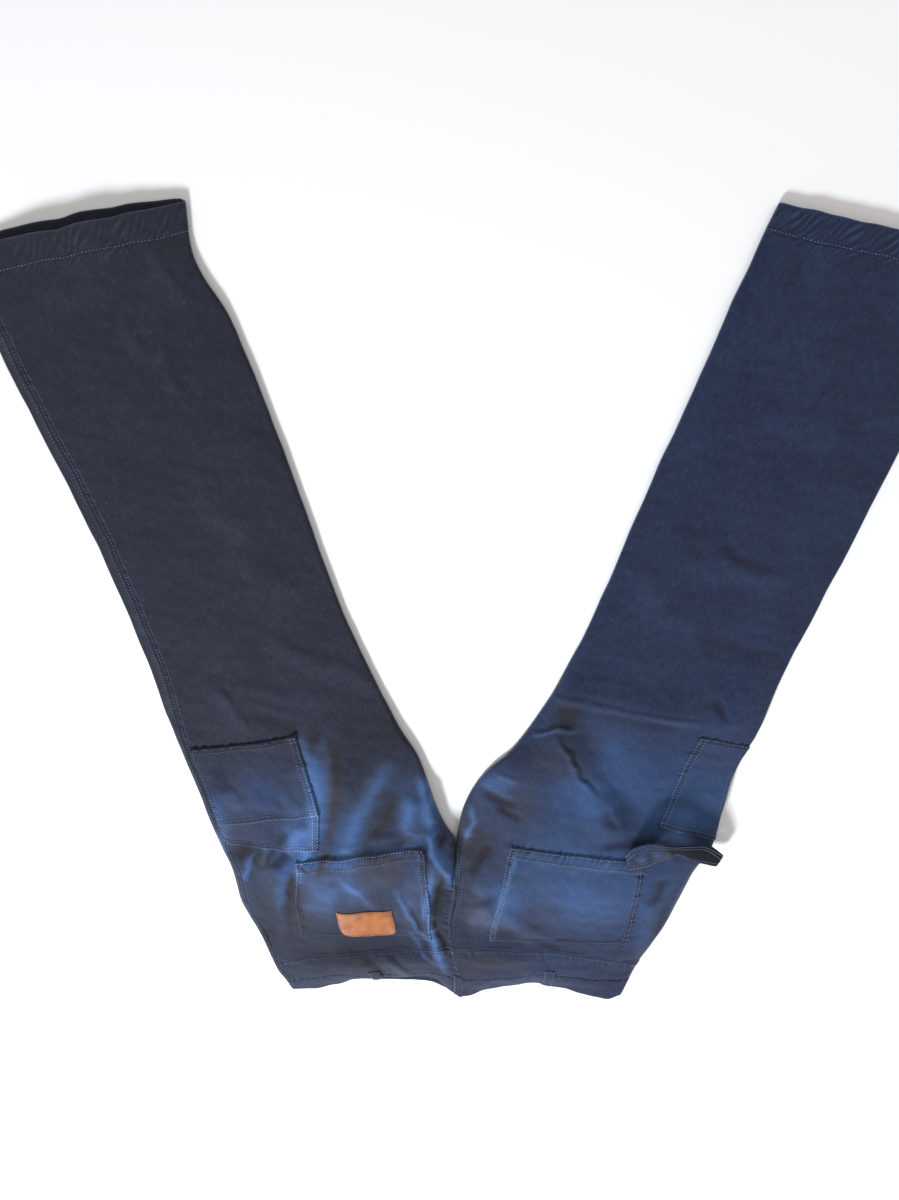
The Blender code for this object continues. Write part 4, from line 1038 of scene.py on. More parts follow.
class Cover:
    """A piece of cloth between two distances from its surface, with raised bands and sewn grooves."""

    def __init__(self, surface, low, high, bands, seams):
        shape = surface.points.shape[:2]
        self.surface = surface
        self.low = np.broadcast_to(np.asarray(low, float), shape).copy()
        high = np.broadcast_to(np.asarray(high, float), shape).copy()
        self.groove, self.wear = np.zeros(shape), np.zeros(shape)
        for side, width, rise, stop in bands:
            past = surface.from_side(side) - width * MM
            high += rise * MM * ease(0.5 - past / BAND_RISE) * self.before(side, stop)
            along = np.exp(-((past / BAND_WEAR_WIDTH) ** 2))
            self.wear = np.maximum(self.wear, along * self.before(side, stop))
        for side, distance, stop in seams:
            away = surface.from_side(side) - self.wavering(side, distance)
            near = np.exp(-((away / GROOVE_WIDTH) ** 2))
            self.groove = np.maximum(self.groove, near * self.before(side, stop))
        high -= GROOVE_DEPTH * self.groove
        round_share = np.clip(surface.edge_distance() / EDGE_ROUND, 0.0, 1.0)
        body = RIM_THICKNESS + (1 - RIM_THICKNESS) * np.sqrt(1 - (1 - round_share) ** 2)
        self.high = self.low + (high - self.low) * body

    def along_side(self, side):
        """Each place's distance along a side."""
        return self.surface.down if side in COLUMN_SIDES else self.surface.across

    def before(self, side, stop):
        """1 up to a distance along a side, in millimetres, and 0 after it. A stop of 0 is its end."""
        own = self.along_side(side)
        return ease((stop * MM - own) / STOP_SOFTNESS) if stop else np.ones_like(own)

    def wavering(self, side, distance):
        """A sewn line's distance from its side, in metres. It strays more the further in it is."""
        own = self.along_side(side)
        waves = np.zeros_like(own)
        for turn, (share, length) in enumerate(SEAM_WAVES, 1):
            waves += share * np.sin(own / length + turn * distance)
        return distance * MM * (1.0 + SEAM_WANDER * waves)

    def line(self, side, distance, start, stop):
        """Points and directions along a line beside one side, from start to stop, in millimetres."""
        away = self.surface.from_side(side) - self.wavering(side, distance)
        by_row = side in COLUMN_SIDES
        if not by_row:
            away = away.T
        numbers = np.arange(away.shape[1], dtype=float)
        found = []
        for row in away:
            order = np.argsort(row)
            found.append(np.interp(0.0, row[order], numbers[order]))
        found, own = np.array(found), np.arange(len(away), dtype=float)
        rows, columns = (own, found) if by_row else (found, own)
        points = between(self.surface.points, rows, columns)
        normals = between(self.surface.normals, rows, columns)
        normals /= np.linalg.norm(normals, axis=-1, keepdims=True)
        points = points + normals * between(self.high, rows, columns)[:, None]
        return trimmed(points, normals, start * MM, stop * MM)


def lengths_along(points):
    steps = np.linalg.norm(np.diff(points, axis=0), axis=-1)
    return np.concatenate([[0.0], np.cumsum(steps)])


def read_along(values, lengths, at):
    return np.stack([np.interp(at, lengths, values[:, k]) for k in range(3)], axis=1)


def trimmed(points, normals, start, stop):
    """The line from a distance along it to another, or to as far before its end as it starts."""
    lengths = lengths_along(points)
    last = min(stop, lengths[-1]) if stop else lengths[-1] - start
    at = np.linspace(start, last, max(8, int((last - start) / 0.001)))
    return read_along(points, lengths, at), read_along(normals, lengths, at)


def new_piece(name, vertices, faces, material):
    mesh = bpy.data.meshes.new(name)
    mesh.from_pydata(np.asarray(vertices).tolist(), [], faces)
    mesh.polygons.foreach_set("use_smooth", [True] * len(mesh.polygons))
    mesh.materials.append(material)
    mesh.update()
    piece = bpy.data.objects.new(name, mesh)
    bpy.context.scene.collection.objects.link(piece)
    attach(piece, BODY)
    return piece


def add_attribute(piece, name, kind, values):
    layer = piece.data.attributes.new(name, kind, "POINT")
    field = "vector" if kind == "FLOAT_VECTOR" else "value"
    layer.data.foreach_set(field, np.asarray(values, np.float32).ravel())


def wash_and_light(x, y, z):
    """The cloth's paleness, blue and brown: wear, painted light on lit slopes and painted shade in hollows.
    """
    right = ease((HALVES_MEET - x) / HALVES_SPAN)
    seat_start = LEFT_SEAT_START + (RIGHT_SEAT_START - LEFT_SEAT_START) * right
    seat = ease((seat_start - y) / SEAT_SPAN)
    # The legs' fades differ by painted light, and the seat's paler blue is painted cool light.
    leg_fade = LEFT_LEG_FADE_AND_LIGHT + (RIGHT_LEG_FADE_AND_LIGHT - LEFT_LEG_FADE_AND_LIGHT) * right
    waist = ease((WAIST_SHADE_START - y) / WAIST_SHADE_SPAN)
    fade = leg_fade + (SEAT_PAINTED_LIGHT - leg_fade) * seat - WAIST_SHADE * waist
    leg_blue = RIGHT_BLUE * right + LEFT_BLUE * (1 - right)
    blue = leg_blue + (SEAT_BLUE - leg_blue) * seat * right
    brown = np.zeros_like(x)
    wobble_x, wobble_y = (ripples(x, y, *waves) for waves in WASH_AND_LIGHT_WAVES)
    # The spots and streaks paint wear, light on slopes that face the key light, and shade on slopes turned
    # away.
    for px, py, wide, deep, more_fade, more_blue, more_brown in WASH_AND_LIGHT:
        away_x, away_y = (x + wobble_x - px) / wide, (y + wobble_y - py) / deep
        share = np.exp(-(away_x**2 + away_y**2))
        fade += more_fade * share
        blue += more_blue * share
        brown += more_brown * share
    for _, half_width, more_fade, more_blue, more_brown, _, points in STREAKS:
        near = close_to(x, y, points, STREAK_REACH * half_width * MM)
        share = streak_share(x[near], y[near], points, STREAK_PAINT_WIDTH * half_width)
        fade[near] += STREAK_STRENGTH * more_fade * share
        blue[near] += STREAK_STRENGTH * more_blue * share
        brown[near] += more_brown * share
    crease = crease_height(x, y)
    # Raised creases and puckers are paler with wear; hollows are darker and browner with painted shade.
    fade += np.clip((CREASE_WEAR_AND_SHADE + SEAT_CREASE_WEAR_AND_SHADE * seat) * crease / MM, *CREASE_WEAR_AND_SHADE_LIMITS)
    fade += np.clip(PUCKER_WEAR_AND_SHADE * pucker_height(x, y) / MM, *PUCKER_WEAR_AND_SHADE_LIMITS)
    brown += TROUGH_SHADE_BROWN * np.clip(-crease / TROUGH_DEPTH, 0.0, 1.0)
    under = z < UNDER_TOP
    fade = np.where(under, LEFT_LEG_FADE_AND_LIGHT, fade)
    brown = np.where(under, 0.0, brown)
    return fade, np.clip(blue, 0.0, 1.0), np.clip(brown, 0.0, MOST_BROWN)


def cloth_piece(name, cover, material, tint):
    """A closed sheet, its faces turned outwards, with its cloth coordinates, wear, and painted light and
    shade.
    """
    surface = cover.surface
    rows, columns = surface.points.shape[:2]
    upper = (surface.points + surface.normals * cover.high[..., None]).reshape(-1, 3)
    lower = (surface.points + surface.normals * cover.low[..., None]).reshape(-1, 3)
    below = rows * columns
    number = np.arange(below).reshape(rows, columns)
    a, b = number[:-1, :-1].ravel(), number[:-1, 1:].ravel()
    c, d = number[1:, 1:].ravel(), number[1:, :-1].ravel()
    top = np.stack([a, b, c, d], axis=1)
    bottom = top[:, ::-1] + below
    rim = np.concatenate([number[0, :], number[1:, -1], number[-1, -2::-1], number[-2:0:-1, 0]])
    after = np.roll(rim, -1)
    sides = np.stack([after, rim, rim + below, after + below], axis=1)
    faces = np.concatenate([top, bottom, sides])
    middle = upper[top[len(top) // 2]]
    turned = np.cross(middle[1] - middle[0], middle[3] - middle[0])
    if np.dot(turned, surface.normals.reshape(-1, 3)[top[len(top) // 2][0]]) < 0:
        faces = faces[:, ::-1]
    piece = new_piece(name, np.concatenate([upper, lower]), faces.tolist(), material)
    flat = np.stack([surface.across, surface.down, np.zeros_like(surface.down)], axis=-1).reshape(-1, 3)
    add_attribute(piece, "cloth", "FLOAT_VECTOR", np.concatenate([flat, flat]))
    # The tint brings the wash with its painted light and shade.
    fade, blue, brown = tint(*upper.T)
    rim_near = np.exp(-((surface.edge_distance() / RIM_WIDTH) ** 2)).ravel()
    fade = fade + RIM_FADE * rim_near - GROOVE_SHADE * cover.groove.ravel() + BAND_WEAR * cover.wear.ravel()
    for key, values in (("fade", fade), ("blue", blue), ("brown", brown)):
        add_attribute(piece, key, "FLOAT", np.concatenate([values, values]))
    return piece


# Sewing, in metres: a stitch's length, the distance from one to the next, and its width
STITCH, PITCH, THREAD = 0.0029, 0.0038, 0.0009

# A stitch's two rings are this share of its length from its middle, and its tips lie this share of its width
# beneath the cloth's face. A ring's four corners are places across and out, as shares of the width.
RING_PLACE, TIP_DEPTH = 0.28, 0.1
RING = ((0.5, 0.15), (0.0, 0.55), (-0.5, 0.15), (0.0, -0.35))


def unit(vectors):
    return vectors / (np.linalg.norm(vectors, axis=-1, keepdims=True) + 1e-12)


def stitch_points(points, normals):
    """The corner points of each stitch along a line: a tip, two rings of four and a tip."""
    lengths = lengths_along(points)
    count = max(1, int(lengths[-1] / PITCH))
    middle = (np.arange(count) + 0.5) * lengths[-1] / count
    stations = []
    for share in (-0.5, -RING_PLACE, RING_PLACE, 0.5):
        at = middle + share * STITCH
        stations.append((read_along(points, lengths, at), read_along(normals, lengths, at)))
    direction = unit(stations[-1][0] - stations[0][0])
    tips = [place - normal * TIP_DEPTH * THREAD for place, normal in (stations[0], stations[-1])]
    corners = [tips[0]]
    for place, normal in stations[1:-1]:
        side = unit(np.cross(normal, direction))
        corners += [place + side * across * THREAD + normal * out * THREAD for across, out in RING]
    return np.stack([*corners, tips[1]], axis=1)


def stitch_faces():
    """A stitch's faces by its corner points: a tip, two rings and a tip."""
    sides = len(RING)
    last_tip = 2 * sides + 1
    faces = []
    for k in range(sides):
        after = (k + 1) % sides
        first, second = 1 + k, 1 + sides + k
        next_first, next_second = 1 + after, 1 + sides + after
        faces.append((0, next_first, first))
        faces.append((first, next_first, next_second, second))
        faces.append((last_tip, second, next_second))
    return faces


STITCH_FACES = stitch_faces()
STITCH_CORNERS = 2 * len(RING) + 2


def sew(name, lines):
    """One joined mesh of all the stitches along some lines."""
    corners = np.concatenate([stitch_points(points, normals) for points, normals in lines])
    vertices = corners.reshape(-1, 3)
    faces = []
    for k in range(len(corners)):
        faces += [tuple(n + STITCH_CORNERS * k for n in face) for face in STITCH_FACES]
    piece = new_piece(name, vertices, faces, THREAD_MATERIAL)
    # The stitches take the cloth's fade, so its painted light and shade too.
    add_attribute(piece, "fade", "FLOAT", wash_and_light(*vertices.T)[0])
    return piece


def principled(name, roughness, metallic=0.0, sheen=0.0):
    """A material and its shader, with the values that it doesn't take from nodes."""
    material = bpy.data.materials.new(name)
    material.use_nodes = True
    shader = material.node_tree.nodes["Principled BSDF"]
    shader.inputs["Roughness"].default_value = roughness
    shader.inputs["Metallic"].default_value = metallic
    shader.inputs["Sheen Weight"].default_value = sheen
    return material, shader


NOISE_ROUGHNESS = 0.6
MIX_SOCKETS = (0, 6, 7)
MIX_RESULT = 2


class Nodes:
    """Short ways to add shader nodes to one material."""

    def __init__(self, material):
        self.tree = material.node_tree

    def put(self, value, target):
        if isinstance(value, bpy.types.NodeSocket):
            self.tree.links.new(value, target)
        else:
            target.default_value = value

    def add(self, kind, inputs=(), **settings):
        node = self.tree.nodes.new(kind)
        for key, value in settings.items():
            setattr(node, key, value)
        for key, value in dict(inputs).items():
            self.put(value, node.inputs[key])
        return node

    def attribute(self, name, output="Fac"):
        return self.add("ShaderNodeAttribute", attribute_name=name).outputs[output]

    def place(self):
        return self.add("ShaderNodeNewGeometry").outputs["Position"]

    def noise(self, vector, scale, detail):
        inputs = {"Vector": vector, "Scale": scale, "Detail": detail, "Roughness": NOISE_ROUGHNESS}
        return self.add("ShaderNodeTexNoise", inputs).outputs["Fac"]

    def math(self, operation, first, second, third=0.0):
        return self.add("ShaderNodeMath", {0: first, 1: second, 2: third}, operation=operation).outputs[0]

    def total(self, base, parts):
        """A base with weighted noises added, each counted from its middle."""
        for noise, weight in parts:
            base = self.math("ADD", base, self.math("MULTIPLY_ADD", noise, weight, -weight / 2))
        return base

    def span(self, value, low, high, to_low, to_high):
        """A value's way from low to high, as a value from one end to the other."""
        inputs = {"Value": value, "From Min": low, "From Max": high, "To Min": to_low, "To Max": to_high}
        return self.add("ShaderNodeMapRange", inputs).outputs["Result"]

    def mix(self, share, first, second):
        """The second colour over the first, by a share. The node's colour sockets go by their numbers."""
        inputs = dict(zip(MIX_SOCKETS, (share, first, second)))
        return self.add("ShaderNodeMix", inputs, data_type="RGBA").outputs[MIX_RESULT]

    def bump(self, height, strength, distance, normal=None):
        inputs = {"Height": height, "Strength": strength, "Distance": distance}
        if normal is not None:
            inputs["Normal"] = normal
        return self.add("ShaderNodeBump", inputs).outputs["Normal"]


def linear(red, green, blue):
    """A colour given in 0 to 255 screen values, in linear light."""
    found = []
    for value in (red, green, blue):
        share = value / 255
        found.append(share / 12.92 if share <= 0.04045 else ((share + 0.055) / 1.055) ** 2.4)
    return (*found, 1.0)


# Denim colours, each dark and faded: a plain dye; a blue dye that also paints the cool key light; a brown
# that paints shade; and the dye of unworn cloth, which also paints deep shade
PLAIN_DYE = (linear(32, 34, 44), linear(102, 106, 126))
BLUE_DYE_AND_LIGHT = (linear(24, 34, 62), linear(80, 116, 172))
PAINTED_SHADE_BROWN = (linear(38, 35, 40), linear(104, 98, 104))
DEEP_DYE_AND_SHADE = linear(6, 6, 12)

# Fades below 0 are unworn cloth and painted shade: from one fade to another, the share of the worn dye and
# the sheen, which drops in the painted shade
WORN_AND_SHADE_SHARE = (-0.75, -0.12, 0.30, 1.0)
WORN_AND_SHADE_SHEEN = (-0.45, -0.10, 0.0, 0.12)

# Denim's noises: how fine and how detailed each is, then how much it adds to the fade
BROAD, MOTTLE, SLUBS, GRAIN = (16.0, 4.0), (150.0, 5.0), (700.0, 2.0), (1500.0, 1.0)
BROAD_FADE, MOTTLE_FADE, SLUB_FADE, GRAIN_FADE = 0.12, 0.14, 0.18, 0.20
SLUB_STRETCH = (1.0, 0.12, 1.0)
FLECKS, FLECK_FADE = (620.0, 1.0), (0.70, 0.76, 0.0, 0.35)
BLUE_NOISE, BLUE_UNEVEN = (22.0, 4.0), 0.3

# The twill's direction and wave, and how strong and how deep it and the crinkles are
TWILL_TURN = math.radians(-58)
TWILL_WAVE = {"Scale": 240.0, "Distortion": 1.5, "Detail": 2.0}
TWILL_BUMP, CRINKLE_BUMP = (0.3, 0.0003), (0.6, 0.0012)


def make_denim(name, lift=0.0):
    """Denim whose paleness, blue and brown, with their painted light and shade, come from the cloth. Thicker
    cloth is lifted, so a little paler.
    """
    material, shader = principled(name, 0.9)
    shader.inputs["Sheen Roughness"].default_value = 0.5
    shader.inputs["Specular IOR Level"].default_value = 0.2
    nodes = Nodes(material)
    cloth = nodes.attribute("cloth", "Vector")
    place = nodes.place()
    stretched = nodes.add("ShaderNodeMapping", {"Vector": cloth, "Scale": SLUB_STRETCH}).outputs["Vector"]
    mottle, slubs = nodes.noise(place, *MOTTLE), nodes.noise(stretched, *SLUBS)
    broad, grain = nodes.noise(place, *BROAD), nodes.noise(cloth, *GRAIN)
    parts = ((broad, BROAD_FADE), (mottle, MOTTLE_FADE), (slubs, SLUB_FADE), (grain, GRAIN_FADE))
    share = nodes.total(nodes.math("ADD", nodes.attribute("fade"), lift), parts)
    share = nodes.math("ADD", share, nodes.span(nodes.noise(place, *FLECKS), *FLECK_FADE))
    plain, blue, brown = (nodes.mix(share, dark, faded) for dark, faded in (PLAIN_DYE, BLUE_DYE_AND_LIGHT, PAINTED_SHADE_BROWN))
    blue_share = nodes.total(nodes.attribute("blue"), ((nodes.noise(place, *BLUE_NOISE), BLUE_UNEVEN),))
    colour = nodes.mix(nodes.attribute("brown"), nodes.mix(blue_share, plain, blue), brown)
    # Negative fades, unworn cloth and painted shade, turn to the deepest dye and lose their sheen.
    nodes.put(nodes.mix(nodes.span(share, *WORN_AND_SHADE_SHARE), DEEP_DYE_AND_SHADE, colour), shader.inputs["Base Color"])
    nodes.put(nodes.span(share, *WORN_AND_SHADE_SHEEN), shader.inputs["Sheen Weight"])
    turned = nodes.add("ShaderNodeMapping", {"Vector": cloth, "Rotation": (0.0, 0.0, TWILL_TURN)})
    twill = {"Vector": turned.outputs["Vector"], **TWILL_WAVE}
    wave = nodes.add("ShaderNodeTexWave", twill, wave_type="BANDS").outputs["Fac"]
    nodes.put(nodes.bump(mottle, *CRINKLE_BUMP, nodes.bump(wave, *TWILL_BUMP)), shader.inputs["Normal"])
    return material


# Thread: its dark and its pale colour, how much it follows the cloth's fade, painted light and shade
# included, and from where, and its noise
THREAD_COLOURS = (linear(50, 60, 86), linear(158, 176, 208))
THREAD_FOLLOW, THREAD_START = 1.3, 0.10
THREAD_NOISE, THREAD_UNEVEN = (60.0, 4.0), 0.5


def make_thread():
    material, shader = principled("thread", 0.7, sheen=0.1)
    nodes = Nodes(material)
    uneven = nodes.noise(nodes.place(), *THREAD_NOISE)
    follow = nodes.math("MULTIPLY_ADD", nodes.attribute("fade"), THREAD_FOLLOW, THREAD_START)
    share = nodes.total(follow, ((uneven, THREAD_UNEVEN),))
    nodes.put(nodes.mix(share, *THREAD_COLOURS), shader.inputs["Base Color"])
    return material


# Leather: its pale and its dark colour, its broad and its fine grain, and how strong and deep each is
LEATHER_COLOURS = (linear(160, 86, 8), linear(124, 60, 4))
LEATHER_BROAD, LEATHER_FINE = (55.0, 5.0), (700.0, 4.0)
LEATHER_SHARE, LEATHER_UNEVEN = (0.35, 0.7, 0.0, 1.0), 0.5
LEATHER_BROAD_BUMP, LEATHER_FINE_BUMP = (0.4, 0.001), (0.35, 0.0004)


def make_leather():
    material, shader = principled("tan_leather", 0.6)
    nodes = Nodes(material)
    place = nodes.place()
    broad, fine = nodes.noise(place, *LEATHER_BROAD), nodes.noise(place, *LEATHER_FINE)
    share = nodes.total(nodes.span(broad, *LEATHER_SHARE), ((fine, LEATHER_UNEVEN),))
    nodes.put(nodes.mix(share, *LEATHER_COLOURS), shader.inputs["Base Color"])
    creased = nodes.bump(broad, *LEATHER_BROAD_BUMP)
    nodes.put(nodes.bump(fine, *LEATHER_FINE_BUMP, creased), shader.inputs["Normal"])
    return material


BRASS_COLOURS = (linear(150, 112, 62), linear(206, 170, 104))
BRASS_NOISE = (260.0, 4.0)


def make_brass():
    material, shader = principled("button_brass", 0.38, metallic=1.0)
    nodes = Nodes(material)
    share = nodes.noise(nodes.place(), *BRASS_NOISE)
    nodes.put(nodes.mix(share, *BRASS_COLOURS), shader.inputs["Base Color"])
    return material


DENIM = make_denim("denim")
DENIM_DOUBLE = make_denim("denim_double", 0.04)
DENIM_POCKET = make_denim("denim_pocket", 0.03)
THREAD_MATERIAL = make_thread()
TAN_LEATHER = make_leather()
BUTTON_BRASS = make_brass()

# Raised bands of each piece: side, width, rise and how far along that side it runs, 0 for all of it. Sewn
# lines: side, distance from it, and the same. All in millimetres.
SEAT_SEAM = 158
BANDS = {
    "back_right": [("first row", 9, 0.9, 0), ("last row", 27, 0.25, 0)],
    "back_left": [("first row", 9, 0.9, 0), ("last column", 10, 0.8, SEAT_SEAM), ("last row", 27, 0.25, 0)],
    "yoke_left": [("last column", 10, 0.8, 0)],
    "front_right": [("first column", 9, 0.7, 0), ("last row", 27, 0.25, 0)],
    "front_left": [("last row", 27, 0.25, 0)],
    "back_pocket": [("first row", 7, 0.5, 0), ("last row", 14, 0.7, 0), ("first column", 8, 0.7, 0),
                    ("last column", 8, 0.7, 0)],
    "tool_pocket": [("first row", 7, 0.5, 0), ("last row", 7, 0.6, 0), ("first column", 4, 0.4, 0),
                    ("last column", 8, 0.7, 0)],
}
SEAMS = {
    "back_right": [("first row", 2, 0), ("first row", 7, 0), ("last row", 27, 0)],
    "back_left": [("first row", 2, 0), ("first row", 7, 0), ("last column", 2, SEAT_SEAM),
                  ("last column", 8, SEAT_SEAM), ("last row", 27, 0)],
    "yoke_left": [("last column", 2, 0), ("last column", 8, 0)],
    "front_right": [("first column", 2, 0), ("first column", 7, 0), ("last row", 27, 0)],
    "front_left": [("last row", 27, 0)],
    "back_pocket": [("first row", 1.5, 0), ("first row", 6, 0), ("last row", 1.5, 0), ("last row", 12.5, 0),
                    ("first column", 1.5, 0), ("first column", 6.5, 0), ("last column", 1.5, 0),
                    ("last column", 6.5, 0)],
    "tool_pocket": [("first row", 1.5, 0), ("first row", 6, 0), ("last row", 1.5, 0), ("last row", 6, 0),
                    ("first column", 2, 0), ("last column", 1.5, 0), ("last column", 7, 0)],
    "waistband": [("first row", 2, 0), ("last row", 2, 0)],
    "belt_loop": [("first column", 1.8, 0), ("last column", 1.8, 0)],
    "hammer_strap": [("first column", 1.8, 0), ("last column", 1.8, 0), ("first column", 6.5, 0),
                     ("last column", 6.5, 0)],
    "patch": [("first row", 2, 0), ("last row", 2, 0), ("first column", 2, 0), ("last column", 2, 0)],
}

# How far from the ends of a side its stitching starts, in millimetres, where it isn't 1
STITCH_STARTS = {"patch": 2.0, "waistband": 3.0}


def add_cloth(node, kind, surface, low, high, material, tint=wash_and_light):
    """One piece of cloth with its stitches, standing for a node of the solids."""
    cover = Cover(surface, low, high, BANDS.get(kind, ()), SEAMS.get(kind, ()))
    piece = cloth_piece(node + "_cloth", cover, material, tint)
    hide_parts(node)
    start = STITCH_STARTS.get(kind, 1.0)
    lines = [cover.line(side, distance, start, stop) for side, distance, stop in SEAMS.get(kind, ())]
    stitches = [sew(node + "_stitches", lines)] if lines else []


# The panels of each half: name, facing up (1) or down (-1), how finely it is evaluated
PANEL_KINDS = (("back", 1, PANEL_STEP), ("yoke", 1, TRIM_STEP), ("front", -1, FRONT_STEP))


def build_panels():
    """The back panels, yokes and front panels. Double cloth at the hems lies on their inner side."""
    for side in ("right", "left"):
        for name, facing, step in PANEL_KINDS:
            panel = PANELS[side][name]
            surface, rows = surface_of(panel, step, facing)
            low = -CLOTH / 2
            if name != "yoke":
                inside_turn = len(panel.numbers) - 2
                low = low - (DOUBLE_CLOTH - CLOTH) * np.clip(rows - inside_turn + 1, 0.0, 1.0)
            add_cloth(f"{name}_{side}", f"{name}_{side}", surface, low, CLOTH / 2, DENIM)


def build_sewn_on():
    """The pockets, each on its panel or on the pocket beneath it."""
    for name, side, row0, row1, column0, column1, layers in SEWN_ON:
        panel = PANELS[side]["back"].cut(range(row0, row1 + 1), range(column0, column1 + 1))
        surface, _ = surface_of(panel, TRIM_STEP, 1)
        low = CLOTH / 2 + SEAM_GAP + layers * (CLOTH + SEAM_GAP)
        kind = "_".join(name.split("_")[:2])
        add_cloth(name, kind, surface, low, low + CLOTH, DENIM_POCKET)


# How many places the waistband is evaluated at: beneath, round an edge, above, from edge to seam, on the lap
BAND_SPOTS_BENEATH, BAND_SPOTS_EDGE, BAND_SPOTS_ABOVE, BAND_SPOTS_DOWN, BAND_SPOTS_LAP = 70, 9, 130, 31, 14


def build_band():
    """The waistband: one strip round the waist whose ends lap at the centre front."""
    flat_beneath = np.linspace(-1.0, -EDGE, BAND_SPOTS_BENEATH, endpoint=False)
    beneath = np.concatenate([flat_beneath, np.linspace(-EDGE, 0, BAND_SPOTS_EDGE)[:-1]])
    flat_above = np.linspace(EDGE, 1.0, BAND_SPOTS_ABOVE)
    above = np.concatenate([np.linspace(0, EDGE, BAND_SPOTS_EDGE)[:-1], flat_above])
    u = np.linspace(0.0, BAND_SEAM, BAND_SPOTS_DOWN)[:, None]
    runs = [(RIGHT, beneath), (RIGHT, above), (LEFT, above[-2::-1]), (LEFT, beneath[::-1])]
    points = [fine_point(half, u, places[None, :]) for half, places in runs]
    width = RIGHT_SECTIONS[0][1] - RIGHT_SECTIONS[0][3]
    for reach in np.linspace(0.0, BAND_LAP, BAND_SPOTS_LAP)[1:]:
        lap = points[3][:, -1:].copy()
        lap[..., 0] -= reach
        lap[..., 1] += RIGHT.waist_shift(u, 1.0 - reach / width, False) - RIGHT.waist_shift(u, 1.0, False)
        points.append(lap)
    surface = Surface(np.concatenate(points, axis=1), 1, len(beneath) + len(above) // 2)
    thick = DOUBLE_CLOTH / 2
    add_cloth("waistband", "waistband", surface, -thick, thick, DENIM_DOUBLE)


# The centre loop lies on both halves, and reaches this far from where they meet, as a place across. A loop
# comes down to the panel just short of the band's seam.
CENTRE_LOOP_REACH = 0.049
LOOP_DROP = BAND_SEAM - 0.02
LOOP_SPOTS_DOWN, LOOP_SPOTS_ACROSS, CENTRE_LOOP_SPOTS = 30, 10, 6


def build_loops():
    """The belt loops, over the band and down to a sewn foot on the cloth beneath it."""
    on_band, on_panel = DOUBLE_CLOTH / 2 + SEAM_GAP, CLOTH / 2 + 2 * SEAM_GAP
    for name, side, layer, place, first_row, foot in BELT_LOOPS:
        rows = np.linspace(first_row / 2, foot, LOOP_SPOTS_DOWN)[:, None]
        if place < 1.0:
            across = np.linspace(place - LOOP_HALF_WIDTH, place + LOOP_HALF_WIDTH, LOOP_SPOTS_ACROSS)
            points = fine_point(HALVES[side], rows, layer * across[None, :])
        else:
            across = np.linspace(1.0 - CENTRE_LOOP_REACH, 1.0, CENTRE_LOOP_SPOTS)[None, :]
            halves = [fine_point(RIGHT, rows, across), fine_point(LEFT, rows, across[:, -2::-1])]
            points = np.concatenate(halves, axis=1)
        low = np.interp(rows, [0.0, LOOP_DROP, foot], [on_band, on_band, on_panel])
        add_cloth(name, "belt_loop", Surface(points, layer), low, low + CLOTH, DENIM_DOUBLE)


PATCH_SPOTS_DOWN, PATCH_SPOTS_ACROSS = 40, 46
PATCH_EDGE_SAMPLES = (0.03, 0.08)


def closer_at_ends(end, count):
    """Even numbers from 0 to an end, with more at both ends."""
    samples = np.array(PATCH_EDGE_SAMPLES)
    return np.unique(np.concatenate([np.linspace(0, end, count), samples, end - samples]))


def build_patch():
    """The bare leather patch, its two waist-side corners rounded off."""
    table = np.array(PATCH)
    parts = len(PATCH_COLUMNS) + 1
    down = closer_at_ends(len(PATCH) - 1, PATCH_SPOTS_DOWN)[:, None]
    across = closer_at_ends(parts, PATCH_SPOTS_ACROSS)[None, :]
    numbers = np.arange(len(PATCH))
    corner_row, between_row, first, last = (np.interp(down, numbers, table[:, k]) for k in range(4))
    bulge = np.sqrt(1 - (1 - np.clip(np.minimum(across, parts - across), 0, 1)) ** 2)
    rows = corner_row + (between_row - corner_row) * bulge
    inner_first, inner_last = (np.full_like(first, value) for value in PATCH_COLUMNS)
    stops = np.concatenate([first, inner_first, inner_last, last], axis=1)
    columns = between(stops, np.arange(len(down))[:, None], across)
    u, p = PANELS["right"]["back"].spot(rows, columns)
    low = CLOTH / 2 + SEAM_GAP + CLOTH + SEAM_GAP
    surface = Surface(fine_point(RIGHT, u, p))
    add_cloth("patch", "patch", surface, low, low + CLOTH, TAN_LEATHER)


NEAR_STEP = 0.001


def seat_on(half, u, p, lift):
    """A place on the tube lifted outwards from it."""
    down = half.point(u + NEAR_STEP, p) - half.point(u - NEAR_STEP, p)
    across = half.point(u, p + NEAR_STEP) - half.point(u, p - NEAR_STEP)
    normal = np.cross(across, down) if half is LEFT else np.cross(down, across)
    return fine_point(half, u, p) + lift * normal / np.linalg.norm(normal)


# The strap's fade, blue and brown before its neck and after it, where the inner face is unworn and darkened
# with painted shade
STRAP_FACE, STRAP_INSIDE_SHADE = (0.07, 0.80, 0.0), (-0.85, 0.50, 0.40)
STRAP_SPOTS_ALONG, STRAP_SPOTS_ACROSS = 110, 22


def strap_tint(x, y, _):
    """The strap's face is pale and blue up to the neck, and its unworn inner face after it dark and purplish
    with painted shade.
    """
    turned = ease((x + STRAP_NECK_SLANT * y - STRAP_NECK) / STRAP_NECK_SPAN)
    fade, blue, brown = (face + (inside - face) * turned for face, inside in zip(STRAP_FACE, STRAP_INSIDE_SHADE))
    return fade + ripples(x, y, *STRAP_WAVES), blue, brown


